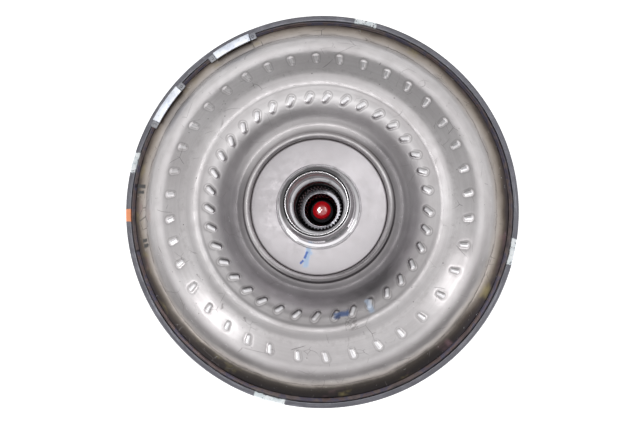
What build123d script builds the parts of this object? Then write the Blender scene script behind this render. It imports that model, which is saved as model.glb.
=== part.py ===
from build123d import *
import math
import os

# Torque converter for an automatic transmission, welded-cover type with a
# lock-up clutch. Millimetres. +Z runs along the axis of rotation from the engine
# side (mounting lugs, z = 0) to the transmission side (pump-drive neck).
# The origin is on the axis in the plane of the four mounting pads.

# ---------------------------------------------------------------- dimensions
COVER_R = 132.5          # outer radius of the cover wall
COVER_T = 3.8            # cover plate thickness
RIM_Z = 62.0             # open edge of the cover wall
COVER_FACE_Z = 10.0      # engine-side face of the cover under the lugs
COVER_DISH_Z = 14.0      # engine-side face of the dished centre
COVER_CORNER_R = 16.0    # outside corner radius of the cover

PILOT_R = 16.0
PILOT_END_Z = 1.5
PILOT_SPIGOT_R = 10.0

LUG_COUNT = 4
LUG_PHASE = 76.0         # azimuth of the first lug, degrees
LUG_PCD = 222.0
LUG_L, LUG_W = 38.0, 20.0
LUG_HOLE_R = 4.4         # tapping size of an M10 x 1.25 thread

SHELL_T = 3.2            # impeller shell thickness
SHELL_SKIRT_R = 128.4    # outer radius of the skirt inside the cover wall
HUB_WELD_GAP = 0.8

NECK_R = 23.75           # pump-drive journal
NECK_BORE_R = 18.9
NECK_TIP_Z = 131.0
NECK_TIP_R = 20.8
NECK_SHOULDER_Z = 102.0  # inner shoulder of the neck bore
HUB_BORE_R = 15.8
HUB_FACE_Z = 98.0        # outer face of the hub disc
HUB_BOTTOM_Z = 91.2
HUB_R = 44.3
FLAT_DIST = 22.2         # pump-drive flats, distance from the axis
FLAT_DIR = 303.0

N_IMPELLER = 37
N_TURBINE = 33
N_STATOR = 15
N_SPLINE_STATOR = 38
N_SPLINE_TURBINE = 24
N_CLUTCH = 10
N_DAMPER = 6

STATOR_HUB_R = 50.0
STATOR_BAND_R = 68.0
RACE_R = 26.0            # stator inner race outside radius
CAM_R = 40.0             # outer race outside radius
ROLLER_R = 3.85
BEARING_RUN = 0.05       # gap either side of the thrust rollers
THRUST_ROLLER_R = 1.05

PISTON_BORE_R = 26.06
HUB_BARREL_R = 26.0
DAMPER_SPRING_PCR = 62.0
DAMPER_Z = 27.0
DAMPER_SPRING_R = 4.4

os.makedirs("parts", exist_ok=True)


# ------------------------------------------------------------------- helpers
def vec(p):
    return Vector(p[0], 0, p[1])


def outline(start, *segments):
    """Face in the r-z plane: a segment is (r, z), or ((r, z), (r, z)) for an arc."""
    edges, p = [], start
    for s in segments:
        if isinstance(s[0], tuple):
            edges.append(Edge.make_three_point_arc(vec(p), vec(s[0]), vec(s[1])))
            p = s[1]
        else:
            edges.append(Edge.make_line(vec(p), vec(s)))
            p = s
    if math.dist(p, start) > 1e-6:
        edges.append(Edge.make_line(vec(p), vec(start)))
    return Face(Wire(edges))


def turned(start, *segments, angle=360.0, at=0.0):
    solid = Solid.revolve(outline(start, *segments), angle, Axis.Z)
    return Rot(0, 0, at) * solid if at else solid


def ring(r0, r1, z0, z1):
    return turned((r0, z0), (r1, z0), (r1, z1), (r0, z1))


def disc_rod(r, z0, z1, x=0.0, y=0.0):
    return Pos(x, y, (z0 + z1) / 2) * Cylinder(r, z1 - z0)


def around(shape, count, phase=0.0):
    return [Rot(0, 0, phase + 360.0 * i / count) * shape for i in range(count)]


def smooth(points, per=2):
    """Catmull-Rom samples through the points, `per` steps for each span."""
    out = []
    n = len(points)
    for i in range(n - 1):
        p0 = points[max(i - 1, 0)]
        p1, p2 = points[i], points[i + 1]
        p3 = points[min(i + 2, n - 1)]
        for k in range(per):
            t = k / per
            out.append(tuple(
                0.5 * (2 * p1[j] + (p2[j] - p0[j]) * t
                       + (2 * p0[j] - 5 * p1[j] + 4 * p2[j] - p3[j]) * t * t
                       + (3 * p1[j] - p0[j] - 3 * p2[j] + p3[j]) * t ** 3)
                for j in (0, 1)))
    out.append(points[-1])
    return out


def offset_points(points, d):
    """Points moved by d to the left of the direction of travel."""
    out = []
    for i, p in enumerate(points):
        a, b = points[max(i - 1, 0)], points[min(i + 1, len(points) - 1)]
        tx, tz = b[0] - a[0], b[1] - a[1]
        length = math.hypot(tx, tz)
        out.append((p[0] - tz / length * d, p[1] + tx / length * d))
    return out


def arcs(points):
    """Arc segments through an odd number of points, starting after the first."""
    return [(points[i + 1], points[i + 2]) for i in range(0, len(points) - 2, 2)]


def flat_outline(points):
    pts = [Vector(x, y, 0) for x, y in points]
    edges = [Edge.make_line(pts[i], pts[(i + 1) % len(pts)]) for i in range(len(pts))]
    return Face(Wire(edges))


def pulled(points, z0, z1):
    """Prism of a polygon in XY between two heights."""
    return Pos(0, 0, z0) * Solid.extrude(flat_outline(points), Vector(0, 0, z1 - z0))


def star(count, r_in, r_out, share=0.5):
    """Outline that steps between two radii `count` times."""
    pts = []
    for i in range(count):
        a = 2 * math.pi * i / count
        half, lean = math.pi / count * share, math.pi / count * 0.16
        for r, b in ((r_in, -half - lean), (r_out, -half + lean),
                     (r_out, half - lean), (r_in, half + lean)):
            pts.append((r * math.cos(a + b), r * math.sin(a + b)))
    return pts


def curved_wall(r_a, az_a, r_b, az_b, bow, t, z0, z1):
    """Thin wall between two radii, bowed sideways, standing along Z."""
    ax, ay = r_a * math.cos(math.radians(az_a)), r_a * math.sin(math.radians(az_a))
    bx, by = r_b * math.cos(math.radians(az_b)), r_b * math.sin(math.radians(az_b))
    length = math.hypot(bx - ax, by - ay)
    nx, ny = -(by - ay) / length, (bx - ax) / length
    mx, my = (ax + bx) / 2 + nx * bow, (ay + by) / 2 + ny * bow
    h = t / 2
    a0, a1 = Vector(ax + nx * h, ay + ny * h, z0), Vector(ax - nx * h, ay - ny * h, z0)
    b0, b1 = Vector(bx + nx * h, by + ny * h, z0), Vector(bx - nx * h, by - ny * h, z0)
    m0, m1 = Vector(mx + nx * h, my + ny * h, z0), Vector(mx - nx * h, my - ny * h, z0)
    wire = Wire([Edge.make_three_point_arc(a0, m0, b0), Edge.make_line(b0, b1),
                 Edge.make_three_point_arc(b1, m1, a1), Edge.make_line(a1, a0)])
    return Solid.extrude(Face(wire), Vector(0, 0, z1 - z0))


def solids_of(shape):
    if isinstance(shape, (list, tuple)):
        found = []
        for s in shape:
            found += solids_of(s)
        return found
    return list(shape.solids())


def save(name, shape):
    found = [s for s in solids_of(shape) if s.volume > 1e-3]
    body = found[0] if len(found) == 1 else Compound(children=found)
    export_step(body, f"parts/{name}.step")
    print(name, len(found))


# ---------------------------------------------------------------- front cover
wall_in = COVER_R - COVER_T
inner_face = COVER_FACE_Z + COVER_T
inner_dish = COVER_DISH_Z + COVER_T
corner_in = COVER_CORNER_R - COVER_T
corner_c = (COVER_R - COVER_CORNER_R, COVER_FACE_Z + COVER_CORNER_R)
d45 = math.sqrt(0.5)
front_cover = turned(
    (PILOT_SPIGOT_R, COVER_DISH_Z),
    (86.5, COVER_DISH_Z),
    ((89.6, 13.3), (92.0, 11.8)),
    ((94.2, 10.4), (97.0, COVER_FACE_Z)),
    (corner_c[0], COVER_FACE_Z),
    ((corner_c[0] + COVER_CORNER_R * d45, corner_c[1] - COVER_CORNER_R * d45),
     (COVER_R, corner_c[1])),
    (COVER_R, RIM_Z - 0.5),
    (COVER_R - 0.5, RIM_Z),
    (wall_in + 0.3, RIM_Z),
    (wall_in, RIM_Z - 0.3),
    (wall_in, corner_c[1]),
    ((corner_c[0] + corner_in * d45, corner_c[1] - corner_in * d45),
     (corner_c[0], inner_face)),
    (98.2, inner_face),
    ((96.0, 14.3), (93.9, 15.6)),
    ((90.8, 17.2), (87.2, inner_dish)),
    (PILOT_SPIGOT_R, inner_dish),
)
save("front_cover", front_cover)

cover_pilot = turned(
    (0, PILOT_END_Z), (4.0, PILOT_END_Z), (5.0, PILOT_END_Z + 1.2),
    (6.2, PILOT_END_Z), (PILOT_R - 1.5, PILOT_END_Z),
    (PILOT_R, PILOT_END_Z + 1.5), (PILOT_R, COVER_DISH_Z - 3.2),
    (PILOT_R - 0.4, COVER_DISH_Z - 2.8), (PILOT_R - 0.4, COVER_DISH_Z),
    (PILOT_SPIGOT_R, COVER_DISH_Z), (PILOT_SPIGOT_R, inner_dish), (0, inner_dish))
save("cover_pilot", cover_pilot)
weld_r = PILOT_R - 0.4
save("pilot_weld", turned((weld_r, COVER_DISH_Z), (weld_r, COVER_DISH_Z - 2.4),
                          ((weld_r + 1.8, COVER_DISH_Z - 1.7),
                           (weld_r + 3.0, COVER_DISH_Z))))

lug_r = LUG_PCD / 2
lug = Pos(lug_r, 0, COVER_FACE_Z / 2) * Box(LUG_W, LUG_L, COVER_FACE_Z)
lug = fillet(lug.edges().filter_by(Axis.Z), 4.0)
lug = chamfer(lug.faces().sort_by(Axis.Z)[0].outer_wire().edges(), 0.8)
lug -= disc_rod(LUG_HOLE_R, -1, COVER_FACE_Z + 1, lug_r)
lug -= Pos(lug_r, 0, 0) * Cone(LUG_HOLE_R + 1.2, LUG_HOLE_R, 1.2,
                               align=(Align.CENTER, Align.CENTER, Align.MIN))
save("mounting_lugs", around(lug, LUG_COUNT, LUG_PHASE))

# fillet welds along the short ends of each lug
seam = []
for side in (1, -1):
    y0 = side * LUG_L / 2
    tri = Face(Wire.make_polygon(
        [Vector(lug_r - 6, y0, COVER_FACE_Z), Vector(lug_r - 6, y0, COVER_FACE_Z - 3.5),
         Vector(lug_r - 6, y0 + side * 3.5, COVER_FACE_Z)]))
    seam.append(Solid.extrude(tri, Vector(11.0, 0, 0)))
save("lug_welds", [Rot(0, 0, LUG_PHASE + 90 * i) * s for i in range(LUG_COUNT)
                   for s in seam])

# ------------------------------------------------------------- impeller shell
dome = smooth([(116.9, 73.4), (112.8, 81.5), (108.0, 88.8), (102.4, 94.9),
               (96.4, 99.2), (91.5, 102.4), (87.0, 104.7), (82.2, 105.7),
               (77.6, 105.2), (74.2, 104.3), (70.7, 102.8), (65.3, 99.2),
               (60.0, 95.5), (57.0, 94.0), (54.0, 93.4), (51.5, 93.9),
               (49.4, 94.9)], 2)
# the travel is inward, so the inside of the shell is to the left
inside = offset_points(dome, SHELL_T)
inside = inside[:-2]          # stop under the lip
if len(inside) % 2 == 0:
    inside = inside[:-1]
lip_r = HUB_R + HUB_WELD_GAP
back = list(reversed(inside))
impeller_shell = turned(
    (SHELL_SKIRT_R, 50.0), (SHELL_SKIRT_R, 60.8),
    ((127.7, 62.7), (126.3, 64.4)), (117.6, 72.6), dome[0],
    *arcs(dome),
    ((47.1, 99.9), (lip_r, 97.4)),
    (lip_r, 92.4), (47.2, 90.6), back[0],
    *arcs(back),
    (114.4, 71.0), (123.9, 62.0),
    ((124.8, 60.9), (SHELL_SKIRT_R - SHELL_T, 59.4)),
    (SHELL_SKIRT_R - SHELL_T, 50.0))


def surface_at(r):
    """Height and slope angle of the shell's outer surface at a radius."""
    for a, b in zip(dome, dome[1:]):
        if b[0] <= r <= a[0]:
            t = (a[0] - r) / (a[0] - b[0])
            return a[1] + (b[1] - a[1]) * t, math.atan2(b[1] - a[1], a[0] - b[0])
    raise ValueError(r)


def pill(length, radius):
    mid = Rot(0, 90, 0) * Cylinder(radius, length - 2 * radius)
    half = (length - 2 * radius) / 2
    return mid + Pos(half, 0, 0) * Sphere(radius) + Pos(-half, 0, 0) * Sphere(radius)


def boss(r, azimuth, length, radius, proud, skew):
    """Blade-tab mark pressed outward, lying in the surface at a radius."""
    z, slope = surface_at(r)
    # local frame: x inward and up the slope, z outward from the surface
    shape = Rot(0, 0, skew) * pill(length, radius)
    shape = Pos(0, 0, proud - radius) * shape
    shape = Rot(0, slope, 0) * shape
    return Rot(0, 0, azimuth) * (Pos(r, 0, z) * shape)


INNER_MARK_R, OUTER_MARK_R = 70.7, 96.4
inner_marks = [8.5 + 360.0 * i / N_IMPELLER for i in range(N_IMPELLER)]
outer_marks = [5.0 + 360.0 * i / N_IMPELLER for i in range(N_IMPELLER)]
marks = [boss(INNER_MARK_R, a, 8.6, 2.0, 1.05, -35) for a in inner_marks]
marks += [boss(OUTER_MARK_R, a, 8.0, 1.5, 0.9, -8) for a in outer_marks]
impeller_shell = impeller_shell.fuse(*[s for m in marks for s in m.solids()])
save("impeller_shell", impeller_shell)

closure_weld = turned((wall_in, 59.6), (wall_in, RIM_Z), ((127.6, 64.5), (125.3, 65.4)),
                      (124.6, 63.0), (126.0, 59.6))
closure_weld = closure_weld - impeller_shell - front_cover
save("closure_weld", closure_weld)

# two balance weights, bent bars spot-welded beside the closure weld
weights = []
for start, end in ((110.2, 126.8), (137.2, 153.8)):
    bar = turned((123.4, 60.0), (129.1, 60.0), (129.1, 68.4), (128.5, 69.0),
                 (124.0, 69.0), (123.4, 68.4), angle=end - start, at=start)
    bar = bar - impeller_shell - closure_weld - front_cover
    weights += [max(bar.solids(), key=lambda s: s.volume)]
save("balance_weights", weights)

# ---------------------------------------------------------------- impeller hub
hub = turned(
    (HUB_BORE_R, HUB_BOTTOM_Z), (40.0, HUB_BOTTOM_Z), (41.5, 92.9), (HUB_R, 92.9),
    (HUB_R, 97.0), (HUB_R - 0.8, 97.6), (38.0, HUB_FACE_Z), (27.2, 98.6),
    ((25.1, 99.2), (NECK_R, 101.4)), (NECK_R, 125.0),
    (NECK_TIP_R + 0.5, 130.6), (NECK_TIP_R, NECK_TIP_Z),
    (NECK_BORE_R + 0.8, NECK_TIP_Z), (NECK_BORE_R, NECK_TIP_Z - 0.8),
    (NECK_BORE_R, NECK_SHOULDER_Z), (HUB_BORE_R + 0.8, NECK_SHOULDER_Z),
    (HUB_BORE_R, NECK_SHOULDER_Z - 0.8))
for side in (0, 180):
    hub -= Rot(0, 0, FLAT_DIR + side) * (
        Pos(FLAT_DIST + 5, 0, 115.5) * Box(10, 40, 22))
save("impeller_hub", hub)
save("hub_weld", ring(HUB_R, lip_r, 92.6, 96.4))

# ------------------------------------------------ impeller and turbine blading
core_up = smooth([(109.0, 65.6), (106.0, 75.4), (98.0, 81.6), (90.0, 83.4),
                  (81.0, 82.0), (74.0, 77.6), (70.6, 71.4)], 2)
core_up_in = offset_points(core_up, 1.5)
impeller_core = turned(core_up[0], *arcs(core_up), core_up_in[-1],
                       *arcs(list(reversed(core_up_in))))
save("impeller_core_ring", impeller_core)

gap = 0.06
shell_side = [p for p in offset_points(dome, SHELL_T + gap) if p[0] > 53.5]
if len(shell_side) % 2 == 0:
    shell_side = shell_side[:-1]
core_side = offset_points(core_up, -gap)
back_core = list(reversed(core_side))
impeller_passage = turned(
    (119.9, 65.6), (114.2, 71.0), shell_side[0], *arcs(shell_side),
    back_core[0], *arcs(back_core))
blades = []
wall = curved_wall(50.0, 1.6, 124.0, -2.6, 2.6, 1.0, 60.0, 110.0)
first = impeller_passage & wall
# inlet edges stand clear of the stator vanes and their outer band
first = first - disc_rod(71.4, 50.0, 79.0)
first = max(first.solids(), key=lambda s: s.volume)
save("impeller_blades", around(first, N_IMPELLER, 7.0))

turbine_out = smooth([(54.0, 43.0), (58.5, 41.4), (64.0, 37.9), (72.0, 33.9),
                      (80.0, 31.7), (88.0, 31.0), (98.0, 32.4), (108.0, 37.4),
                      (116.0, 44.8), (121.2, 53.4), (123.4, 61.0)], 2)
TURBINE_T = 2.0
turbine_in = offset_points(turbine_out, TURBINE_T)
turbine_shell = turned(
    (38.6, 43.0), turbine_out[0], *arcs(turbine_out), turbine_in[-1],
    *arcs(list(reversed(turbine_in))), (38.6, 45.0))
rivet_holes = around(disc_rod(2.6, 40, 48, 47.0), 8)
for h in rivet_holes:
    turbine_shell -= h
save("turbine_shell", turbine_shell)

core_dn = smooth([(70.6, 59.6), (74.0, 53.6), (81.0, 50.0), (90.0, 48.8),
                  (98.0, 50.4), (105.6, 54.8), (109.0, 61.2)], 2)
core_dn_in = offset_points(core_dn, 1.5)
turbine_core = turned(core_dn[0], *arcs(core_dn), core_dn_in[-1],
                      *arcs(list(reversed(core_dn_in))))
save("turbine_core_ring", turbine_core)

t_side = [p for p in offset_points(turbine_out, TURBINE_T + gap) if p[0] > 58.0]
if len(t_side) % 2 == 0:
    t_side = t_side[:-1]
t_core = list(reversed(offset_points(core_dn, -gap)))
turbine_passage = turned(t_side[0], *arcs(t_side), t_core[0], *arcs(t_core))
wall = curved_wall(54.0, 0.0, 124.0, 12.0, -9.0, 0.9, 30.0, 67.0)
first = turbine_passage & wall
first = max(first.solids(), key=lambda s: s.volume)
save("turbine_blades", around(first, N_TURBINE, 3.0))

# ----------------------------------------------------------------- turbine hub
turbine_hub = turned(
    (5.5, 22.2), (HUB_BARREL_R - 0.6, 22.2), (HUB_BARREL_R, 22.8),
    (HUB_BARREL_R, 28.0), (24.0, 28.0), (24.0, 30.0), (HUB_BARREL_R, 30.0),
    (HUB_BARREL_R, 38.0), (54.0, 38.0), (54.0, 43.0), (38.3, 43.0), (38.3, 43.8),
    (15.8, 43.8), ((14.95, 44.15), (14.6, 45.0)), (14.6, 67.4), (14.0, 68.0),
    (11.6, 68.0), (11.6, 67.2), (12.3, 67.2), (12.3, 65.8), (10.9, 65.8),
    (9.4, 64.8), (9.4, 50.0), (7.5, 49.0), (5.5, 49.0))
turbine_hub -= pulled(star(N_SPLINE_TURBINE, 9.0, 10.3), 52.0, 66.0)
for h in rivet_holes:
    turbine_hub -= h
for h in around(disc_rod(2.6, 30, 48, 47.0), 8):
    turbine_hub -= h
save("turbine_hub", turbine_hub)
save("piston_inner_seal", ring(24.1, HUB_BARREL_R + 0.03, 28.1, 29.9))

wire_ring = Rot(0, 0, -62 + 6) * Solid.revolve(
    Face(Wire.make_circle(0.55, Plane((11.55, 0, 66.5), x_dir=(1, 0, 0), z_dir=(0, 1, 0)))),
    348, Axis.Z)
save("hub_wire_ring", wire_ring)

# damper driven plate: ring with arms that push on the springs
driven = turned((40.0, 35.4), (50.6, 35.4), (55.2, 26.0), (57.2, 26.0), (57.2, 28.0),
                (56.5, 28.0), (52.0, 37.94), (40.0, 37.94))
arm_face = []
half_arm = 9.2
for i in range(N_DAMPER):
    a = 360.0 / N_DAMPER * (i + 0.5)
    arm = turned((56.6, 26.0), (68.0, 26.0), (68.0, 28.0), (56.6, 28.0),
                 angle=2 * half_arm, at=a - half_arm)
    driven += arm
for h in around(disc_rod(2.6, 30, 48, 47.0), 8):
    driven -= h
save("damper_driven_plate", driven)
rivet = turned((0, 33.8), (1.4, 33.8), (2.6, 34.3), (3.2, 35.36), (2.5, 35.36),
               (2.5, 45.04), (4.4, 45.04), (3.6, 46.1), (2.0, 46.7), (0, 46.7))
save("hub_rivets", around(Pos(47.0, 0, 0) * rivet, 8))

# --------------------------------------------------------------------- damper
half_window = math.degrees(math.asin(16.6 / DAMPER_SPRING_PCR)) + 0.4


def spring_plate(z0, z1, r0, r1):
    plate = ring(r0, r1, z0, z1)
    for i in range(N_DAMPER):
        win = turned((DAMPER_SPRING_PCR - 5.6, z0 - 1), (DAMPER_SPRING_PCR + 4.9, z0 - 1),
                     (DAMPER_SPRING_PCR + 4.9, z1 + 1), (DAMPER_SPRING_PCR - 5.6, z1 + 1),
                     angle=2 * half_window, at=60.0 * i - half_window)
        plate -= win
    for h in around(disc_rod(1.8, z0 - 1, z1 + 1, 70.6), N_DAMPER, 30.0):
        plate -= h
    return plate


front_plate = spring_plate(22.7, 24.2, 53.0, 81.0)
for i in range(N_DAMPER):
    slot = turned((76.2, 22), (82, 22), (82, 25), (76.2, 25), angle=9.6,
                  at=60.0 * i + 30 - 4.8)
    front_plate -= slot
rear_plate = spring_plate(29.8, 31.2, 56.2, 73.4)
save("damper_front_plate", front_plate)
save("damper_rear_plate", rear_plate)
d_rivet = turned((0, 21.9), (2.8, 22.2), (2.8, 22.66), (1.75, 22.66), (1.75, 24.24),
                 (2.3, 24.24), (2.3, 29.76), (1.75, 29.76), (1.75, 31.24),
                 (2.6, 31.24), (2.6, 31.7), (0, 31.9))
save("damper_rivets", around(Pos(70.6, 0, 0) * d_rivet, N_DAMPER, 30.0))

coil = Rot(90, 0, 0) * (Cylinder(DAMPER_SPRING_R, 32.4) - Cylinder(2.6, 40))
save("damper_springs", around(Pos(DAMPER_SPRING_PCR, 0, DAMPER_Z) * coil, N_DAMPER))

# --------------------------------------------------------------- lock-up piston
piston = turned(
    (PISTON_BORE_R, 19.0), (88.6, 19.0), (97.0, 16.0), (118.0, 16.0),
    ((119.0, 16.4), (119.4, 17.4)), (119.4, 24.0), (117.0, 24.0), (117.0, 18.5),
    (97.6, 18.5), (89.2, 21.5), (31.0, 21.5), ((29.3, 22.2), (28.6, 23.9)),
    (28.6, 32.0), (PISTON_BORE_R, 32.0))
for i in range(N_DAMPER):
    piston += turned((76.6, 21.0), (79.6, 21.0), (79.6, 25.6), (76.6, 25.6),
                     angle=8.8, at=60.0 * i + 30 - 4.4)
save("lockup_piston", piston)
save("friction_facing", ring(99.0, 115.6, 14.84, 15.98))


# ------------------------------------------------------------- thrust bearings
def bearing(prefix, z, r0, r1, count, names):
    """Two hardened races, a cage and radial needle rollers, from z upward."""
    race = 1.1
    span = 2 * THRUST_ROLLER_R + 2 * BEARING_RUN
    save(names[0], ring(r0, r1, z, z + race))
    save(names[1], ring(r0, r1, z + race + span, z + 2 * race + span))
    mid = z + race + span / 2
    ri, ro = r0 + 1.6, r1 - 1.4
    needle = Pos((ri + ro) / 2, 0, mid) * (Rot(0, 90, 0) * Cylinder(THRUST_ROLLER_R, ro - ri))
    needles = around(needle, count)
    cage = ring(r0 + 0.4, r1 - 0.4, mid - 0.5, mid + 0.5)
    pocket = Pos((ri + ro) / 2, 0, mid) * Box(ro - ri + 0.2, 2 * THRUST_ROLLER_R + 0.16, 3)
    for p in around(pocket, count):
        cage -= p
    save(prefix + "_cage", cage)
    save(prefix + "_rollers", needles)
    return z + 2 * race + span


bearing("front_bearing", 17.8, 13.0, 24.8, 18,
        ("front_bearing_cover_race", "front_bearing_hub_race"))
bearing("middle_bearing", 43.8, 22.0, 37.8, 24,
        ("middle_bearing_turbine_race", "middle_bearing_stator_race"))
bearing("rear_bearing", 86.8, 22.0, 37.8, 24,
        ("rear_bearing_stator_race", "rear_bearing_hub_race"))

# ---------------------------------------------------------------------- stator
stator_race = turned(
    (15.4, 49.0), (RACE_R - 0.6, 49.0), (RACE_R, 49.6), (RACE_R, 85.6),
    (RACE_R - 0.6, 86.2), (15.6, 86.2), (13.2, 83.8), (13.2, 69.4),
    (15.4, 68.6))
stator_race -= pulled(star(N_SPLINE_STATOR, 12.9, 14.3), 69.0, 88.0)
save("stator_inner_race", stator_race)

outer_race = ring(29.2, CAM_R, 54.0, 81.0)
for i in range(N_CLUTCH):
    pocket = disc_rod(ROLLER_R + 0.15, 53, 82, 30.0)
    spring_room = Pos(30.2, -5.2, 67.5) * Box(6.4, 7.6, 29)
    outer_race -= Rot(0, 0, 36.0 * i) * (pocket + spring_room)
save("stator_outer_race", outer_race)
save("clutch_rollers", around(disc_rod(ROLLER_R, 54.2, 80.8, 30.02), N_CLUTCH))
# folded leaf spring: square-cornered strip, drawn as one outline
h = 0.125
leaf = pulled(
    [(28.0, -8.6 - h), (32.4 + h, -8.6 - h), (32.4 + h, -7.5 + h), (28.0 + h, -7.5 + h),
     (28.0 + h, -6.4 - h), (32.4 + h, -6.4 - h), (32.4 + h, -5.3 + h), (30.2 + h, -5.3 + h),
     (30.2 + h, -4.6), (30.2 - h, -4.6), (30.2 - h, -5.3 - h), (32.4 - h, -5.3 - h),
     (32.4 - h, -6.4 + h), (28.0 - h, -6.4 + h), (28.0 - h, -7.5 - h), (32.4 - h, -7.5 - h),
     (32.4 - h, -8.6 + h), (28.0, -8.6 + h)], 56.0, 79.0)
save("clutch_roller_springs", around(leaf, N_CLUTCH))

wheel = turned((CAM_R + 0.02, 53.5), (44.0, 53.5), (44.0, 50.4), (49.2, 50.4),
               (STATOR_HUB_R, 51.4), (STATOR_HUB_R, 83.6), (49.2, 84.6),
               (44.0, 84.6), (44.0, 81.5), (CAM_R + 0.02, 81.5))
band = turned((STATOR_BAND_R, 60.2), (STATOR_BAND_R + 1.9, 60.2),
              (STATOR_BAND_R + 1.9, 72.2), (STATOR_BAND_R, 72.2))
# aerofoil section, drawn in the tangent (y) and axial (z) directions
foil = [(-9.5, 77.5), (-9.9, 75.5), (-7.4, 69.6), (-2.6, 63.6), (3.4, 59.0),
        (8.6, 56.4), (8.9, 56.9), (4.9, 60.6), (0.7, 65.4), (-3.0, 71.0),
        (-5.9, 76.2), (-7.6, 78.0)]
foil = [(y, min(z, 77.8)) for y, z in foil]
face = Face(Wire([Edge.make_line(Vector(49.0, *foil[i]), Vector(49.0, *foil[(i + 1) % len(foil)]))
                  for i in range(len(foil))]))
vane = Solid.extrude(face, Vector(20.5, 0, 0))
vane = vane & ring(49.6, STATOR_BAND_R + 0.6, 50, 90)
stator_wheel = wheel.fuse(band, *[s for v in around(vane, N_STATOR) for s in v.solids()])
save("stator_wheel", stator_wheel)
save("stator_front_cap", turned((RACE_R + 0.08, 48.2), (38.0, 48.2), (38.0, 50.0),
                                (43.9, 50.0), (43.9, 53.46), (RACE_R + 0.08, 53.46)))
save("stator_rear_cap", turned((RACE_R + 0.08, 81.54), (43.9, 81.54), (43.9, 85.0),
                               (38.0, 85.0), (38.0, 86.8), (RACE_R + 0.08, 86.8)))
print("done")
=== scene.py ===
import math
import bpy
import numpy as np
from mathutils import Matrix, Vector


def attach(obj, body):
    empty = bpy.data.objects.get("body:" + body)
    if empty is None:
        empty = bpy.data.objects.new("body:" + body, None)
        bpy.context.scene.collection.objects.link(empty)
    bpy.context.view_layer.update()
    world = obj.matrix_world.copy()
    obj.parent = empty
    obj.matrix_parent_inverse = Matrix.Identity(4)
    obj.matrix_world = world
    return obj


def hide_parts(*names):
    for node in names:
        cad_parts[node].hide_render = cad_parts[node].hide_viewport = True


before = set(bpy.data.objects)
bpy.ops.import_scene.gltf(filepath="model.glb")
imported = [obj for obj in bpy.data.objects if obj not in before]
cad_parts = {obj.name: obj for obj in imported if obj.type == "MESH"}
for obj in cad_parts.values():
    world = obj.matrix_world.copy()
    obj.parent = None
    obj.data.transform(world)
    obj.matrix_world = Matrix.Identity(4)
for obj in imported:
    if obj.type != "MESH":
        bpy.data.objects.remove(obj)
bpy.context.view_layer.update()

scene = bpy.context.scene
scene.view_settings.view_transform = "Standard"
scene.view_settings.look = "None"
MM = 0.001
TAU = 2 * math.pi

# =====================================================================
# mesh helpers (millimetres in, metres out)
# =====================================================================


def make_object(name, verts, faces, smooth=True):
    me = bpy.data.meshes.new(name)
    me.from_pydata([tuple(v) for v in np.asarray(verts, float) * MM], [], faces)
    me.validate()
    me.update()
    if smooth:
        me.polygons.foreach_set("use_smooth", [True] * len(me.polygons))
    ob = bpy.data.objects.new(name, me)
    scene.collection.objects.link(ob)
    return ob


def grid_faces(rows, cols, wrap_cols=True, wrap_rows=False, flip=False):
    faces = []
    for i in range(rows if wrap_rows else rows - 1):
        i2 = (i + 1) % rows
        for j in range(cols if wrap_cols else cols - 1):
            j2 = (j + 1) % cols
            f = (i * cols + j, i * cols + j2, i2 * cols + j2, i2 * cols + j)
            faces.append(f[::-1] if flip else f)
    return faces


def spun(name, profile, n, shape=None, closed=True, flip=False, angle=None, at=0.0):
    """Body of revolution of an (r, z) loop. shape(r, z, theta) may move the points."""
    p = np.asarray(profile, float)
    if angle is None:
        th = np.arange(n) / n * TAU
    else:
        th = math.radians(at) + np.linspace(0, math.radians(angle), n)
    r = np.repeat(p[:, 0][:, None], n, 1)
    z = np.repeat(p[:, 1][:, None], n, 1)
    t = np.repeat(th[None, :], len(p), 0)
    if shape is not None:
        r, z, t = shape(r, z, t)
    v = np.stack([r * np.cos(t), r * np.sin(t), z], -1).reshape(-1, 3)
    faces = grid_faces(len(p), n, wrap_cols=angle is None, wrap_rows=closed, flip=flip)
    if angle is not None:
        first = [i * n for i in range(len(p))]
        last = [i * n + n - 1 for i in range(len(p))]
        faces.append(tuple(first if flip else first[::-1]))
        faces.append(tuple(last[::-1] if flip else last))
    ob = make_object(name, v, faces)
    return ob


def outward(ob):
    """Consistent outward normals."""
    import bmesh
    bm = bmesh.new()
    bm.from_mesh(ob.data)
    bmesh.ops.remove_doubles(bm, verts=bm.verts, dist=1e-7)
    bmesh.ops.recalc_face_normals(bm, faces=bm.faces)
    bm.to_mesh(ob.data)
    bm.free()
    ob.data.polygons.foreach_set("use_smooth", [True] * len(ob.data.polygons))
    return ob


def sharp(ob, degrees=35):
    ob.data.set_sharp_from_angle(angle=math.radians(degrees))
    return ob


def catmull(points, per):
    pts = [np.array(p, float) for p in points]
    out = []
    for i in range(len(pts) - 1):
        p0, p1 = pts[max(i - 1, 0)], pts[i]
        p2, p3 = pts[i + 1], pts[min(i + 2, len(pts) - 1)]
        for k in range(per):
            t = k / per
            out.append(0.5 * (2 * p1 + (p2 - p0) * t + (2 * p0 - 5 * p1 + 4 * p2 - p3) * t * t
                              + (3 * p1 - p0 - 3 * p2 + p3) * t ** 3))
    out.append(pts[-1])
    return np.array(out)


def resample(points, step):
    p = np.asarray(points, float)
    d = np.r_[0, np.cumsum(np.hypot(*np.diff(p, axis=0).T))]
    n = max(2, int(round(d[-1] / step)) + 1)
    s = np.linspace(0, d[-1], n)
    return np.stack([np.interp(s, d, p[:, 0]), np.interp(s, d, p[:, 1])], 1)


def normals_of(p):
    t = np.gradient(p, axis=0)
    t /= np.maximum(np.hypot(t[:, 0], t[:, 1])[:, None], 1e-9)
    return t, np.stack([-t[:, 1], t[:, 0]], 1)


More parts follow.
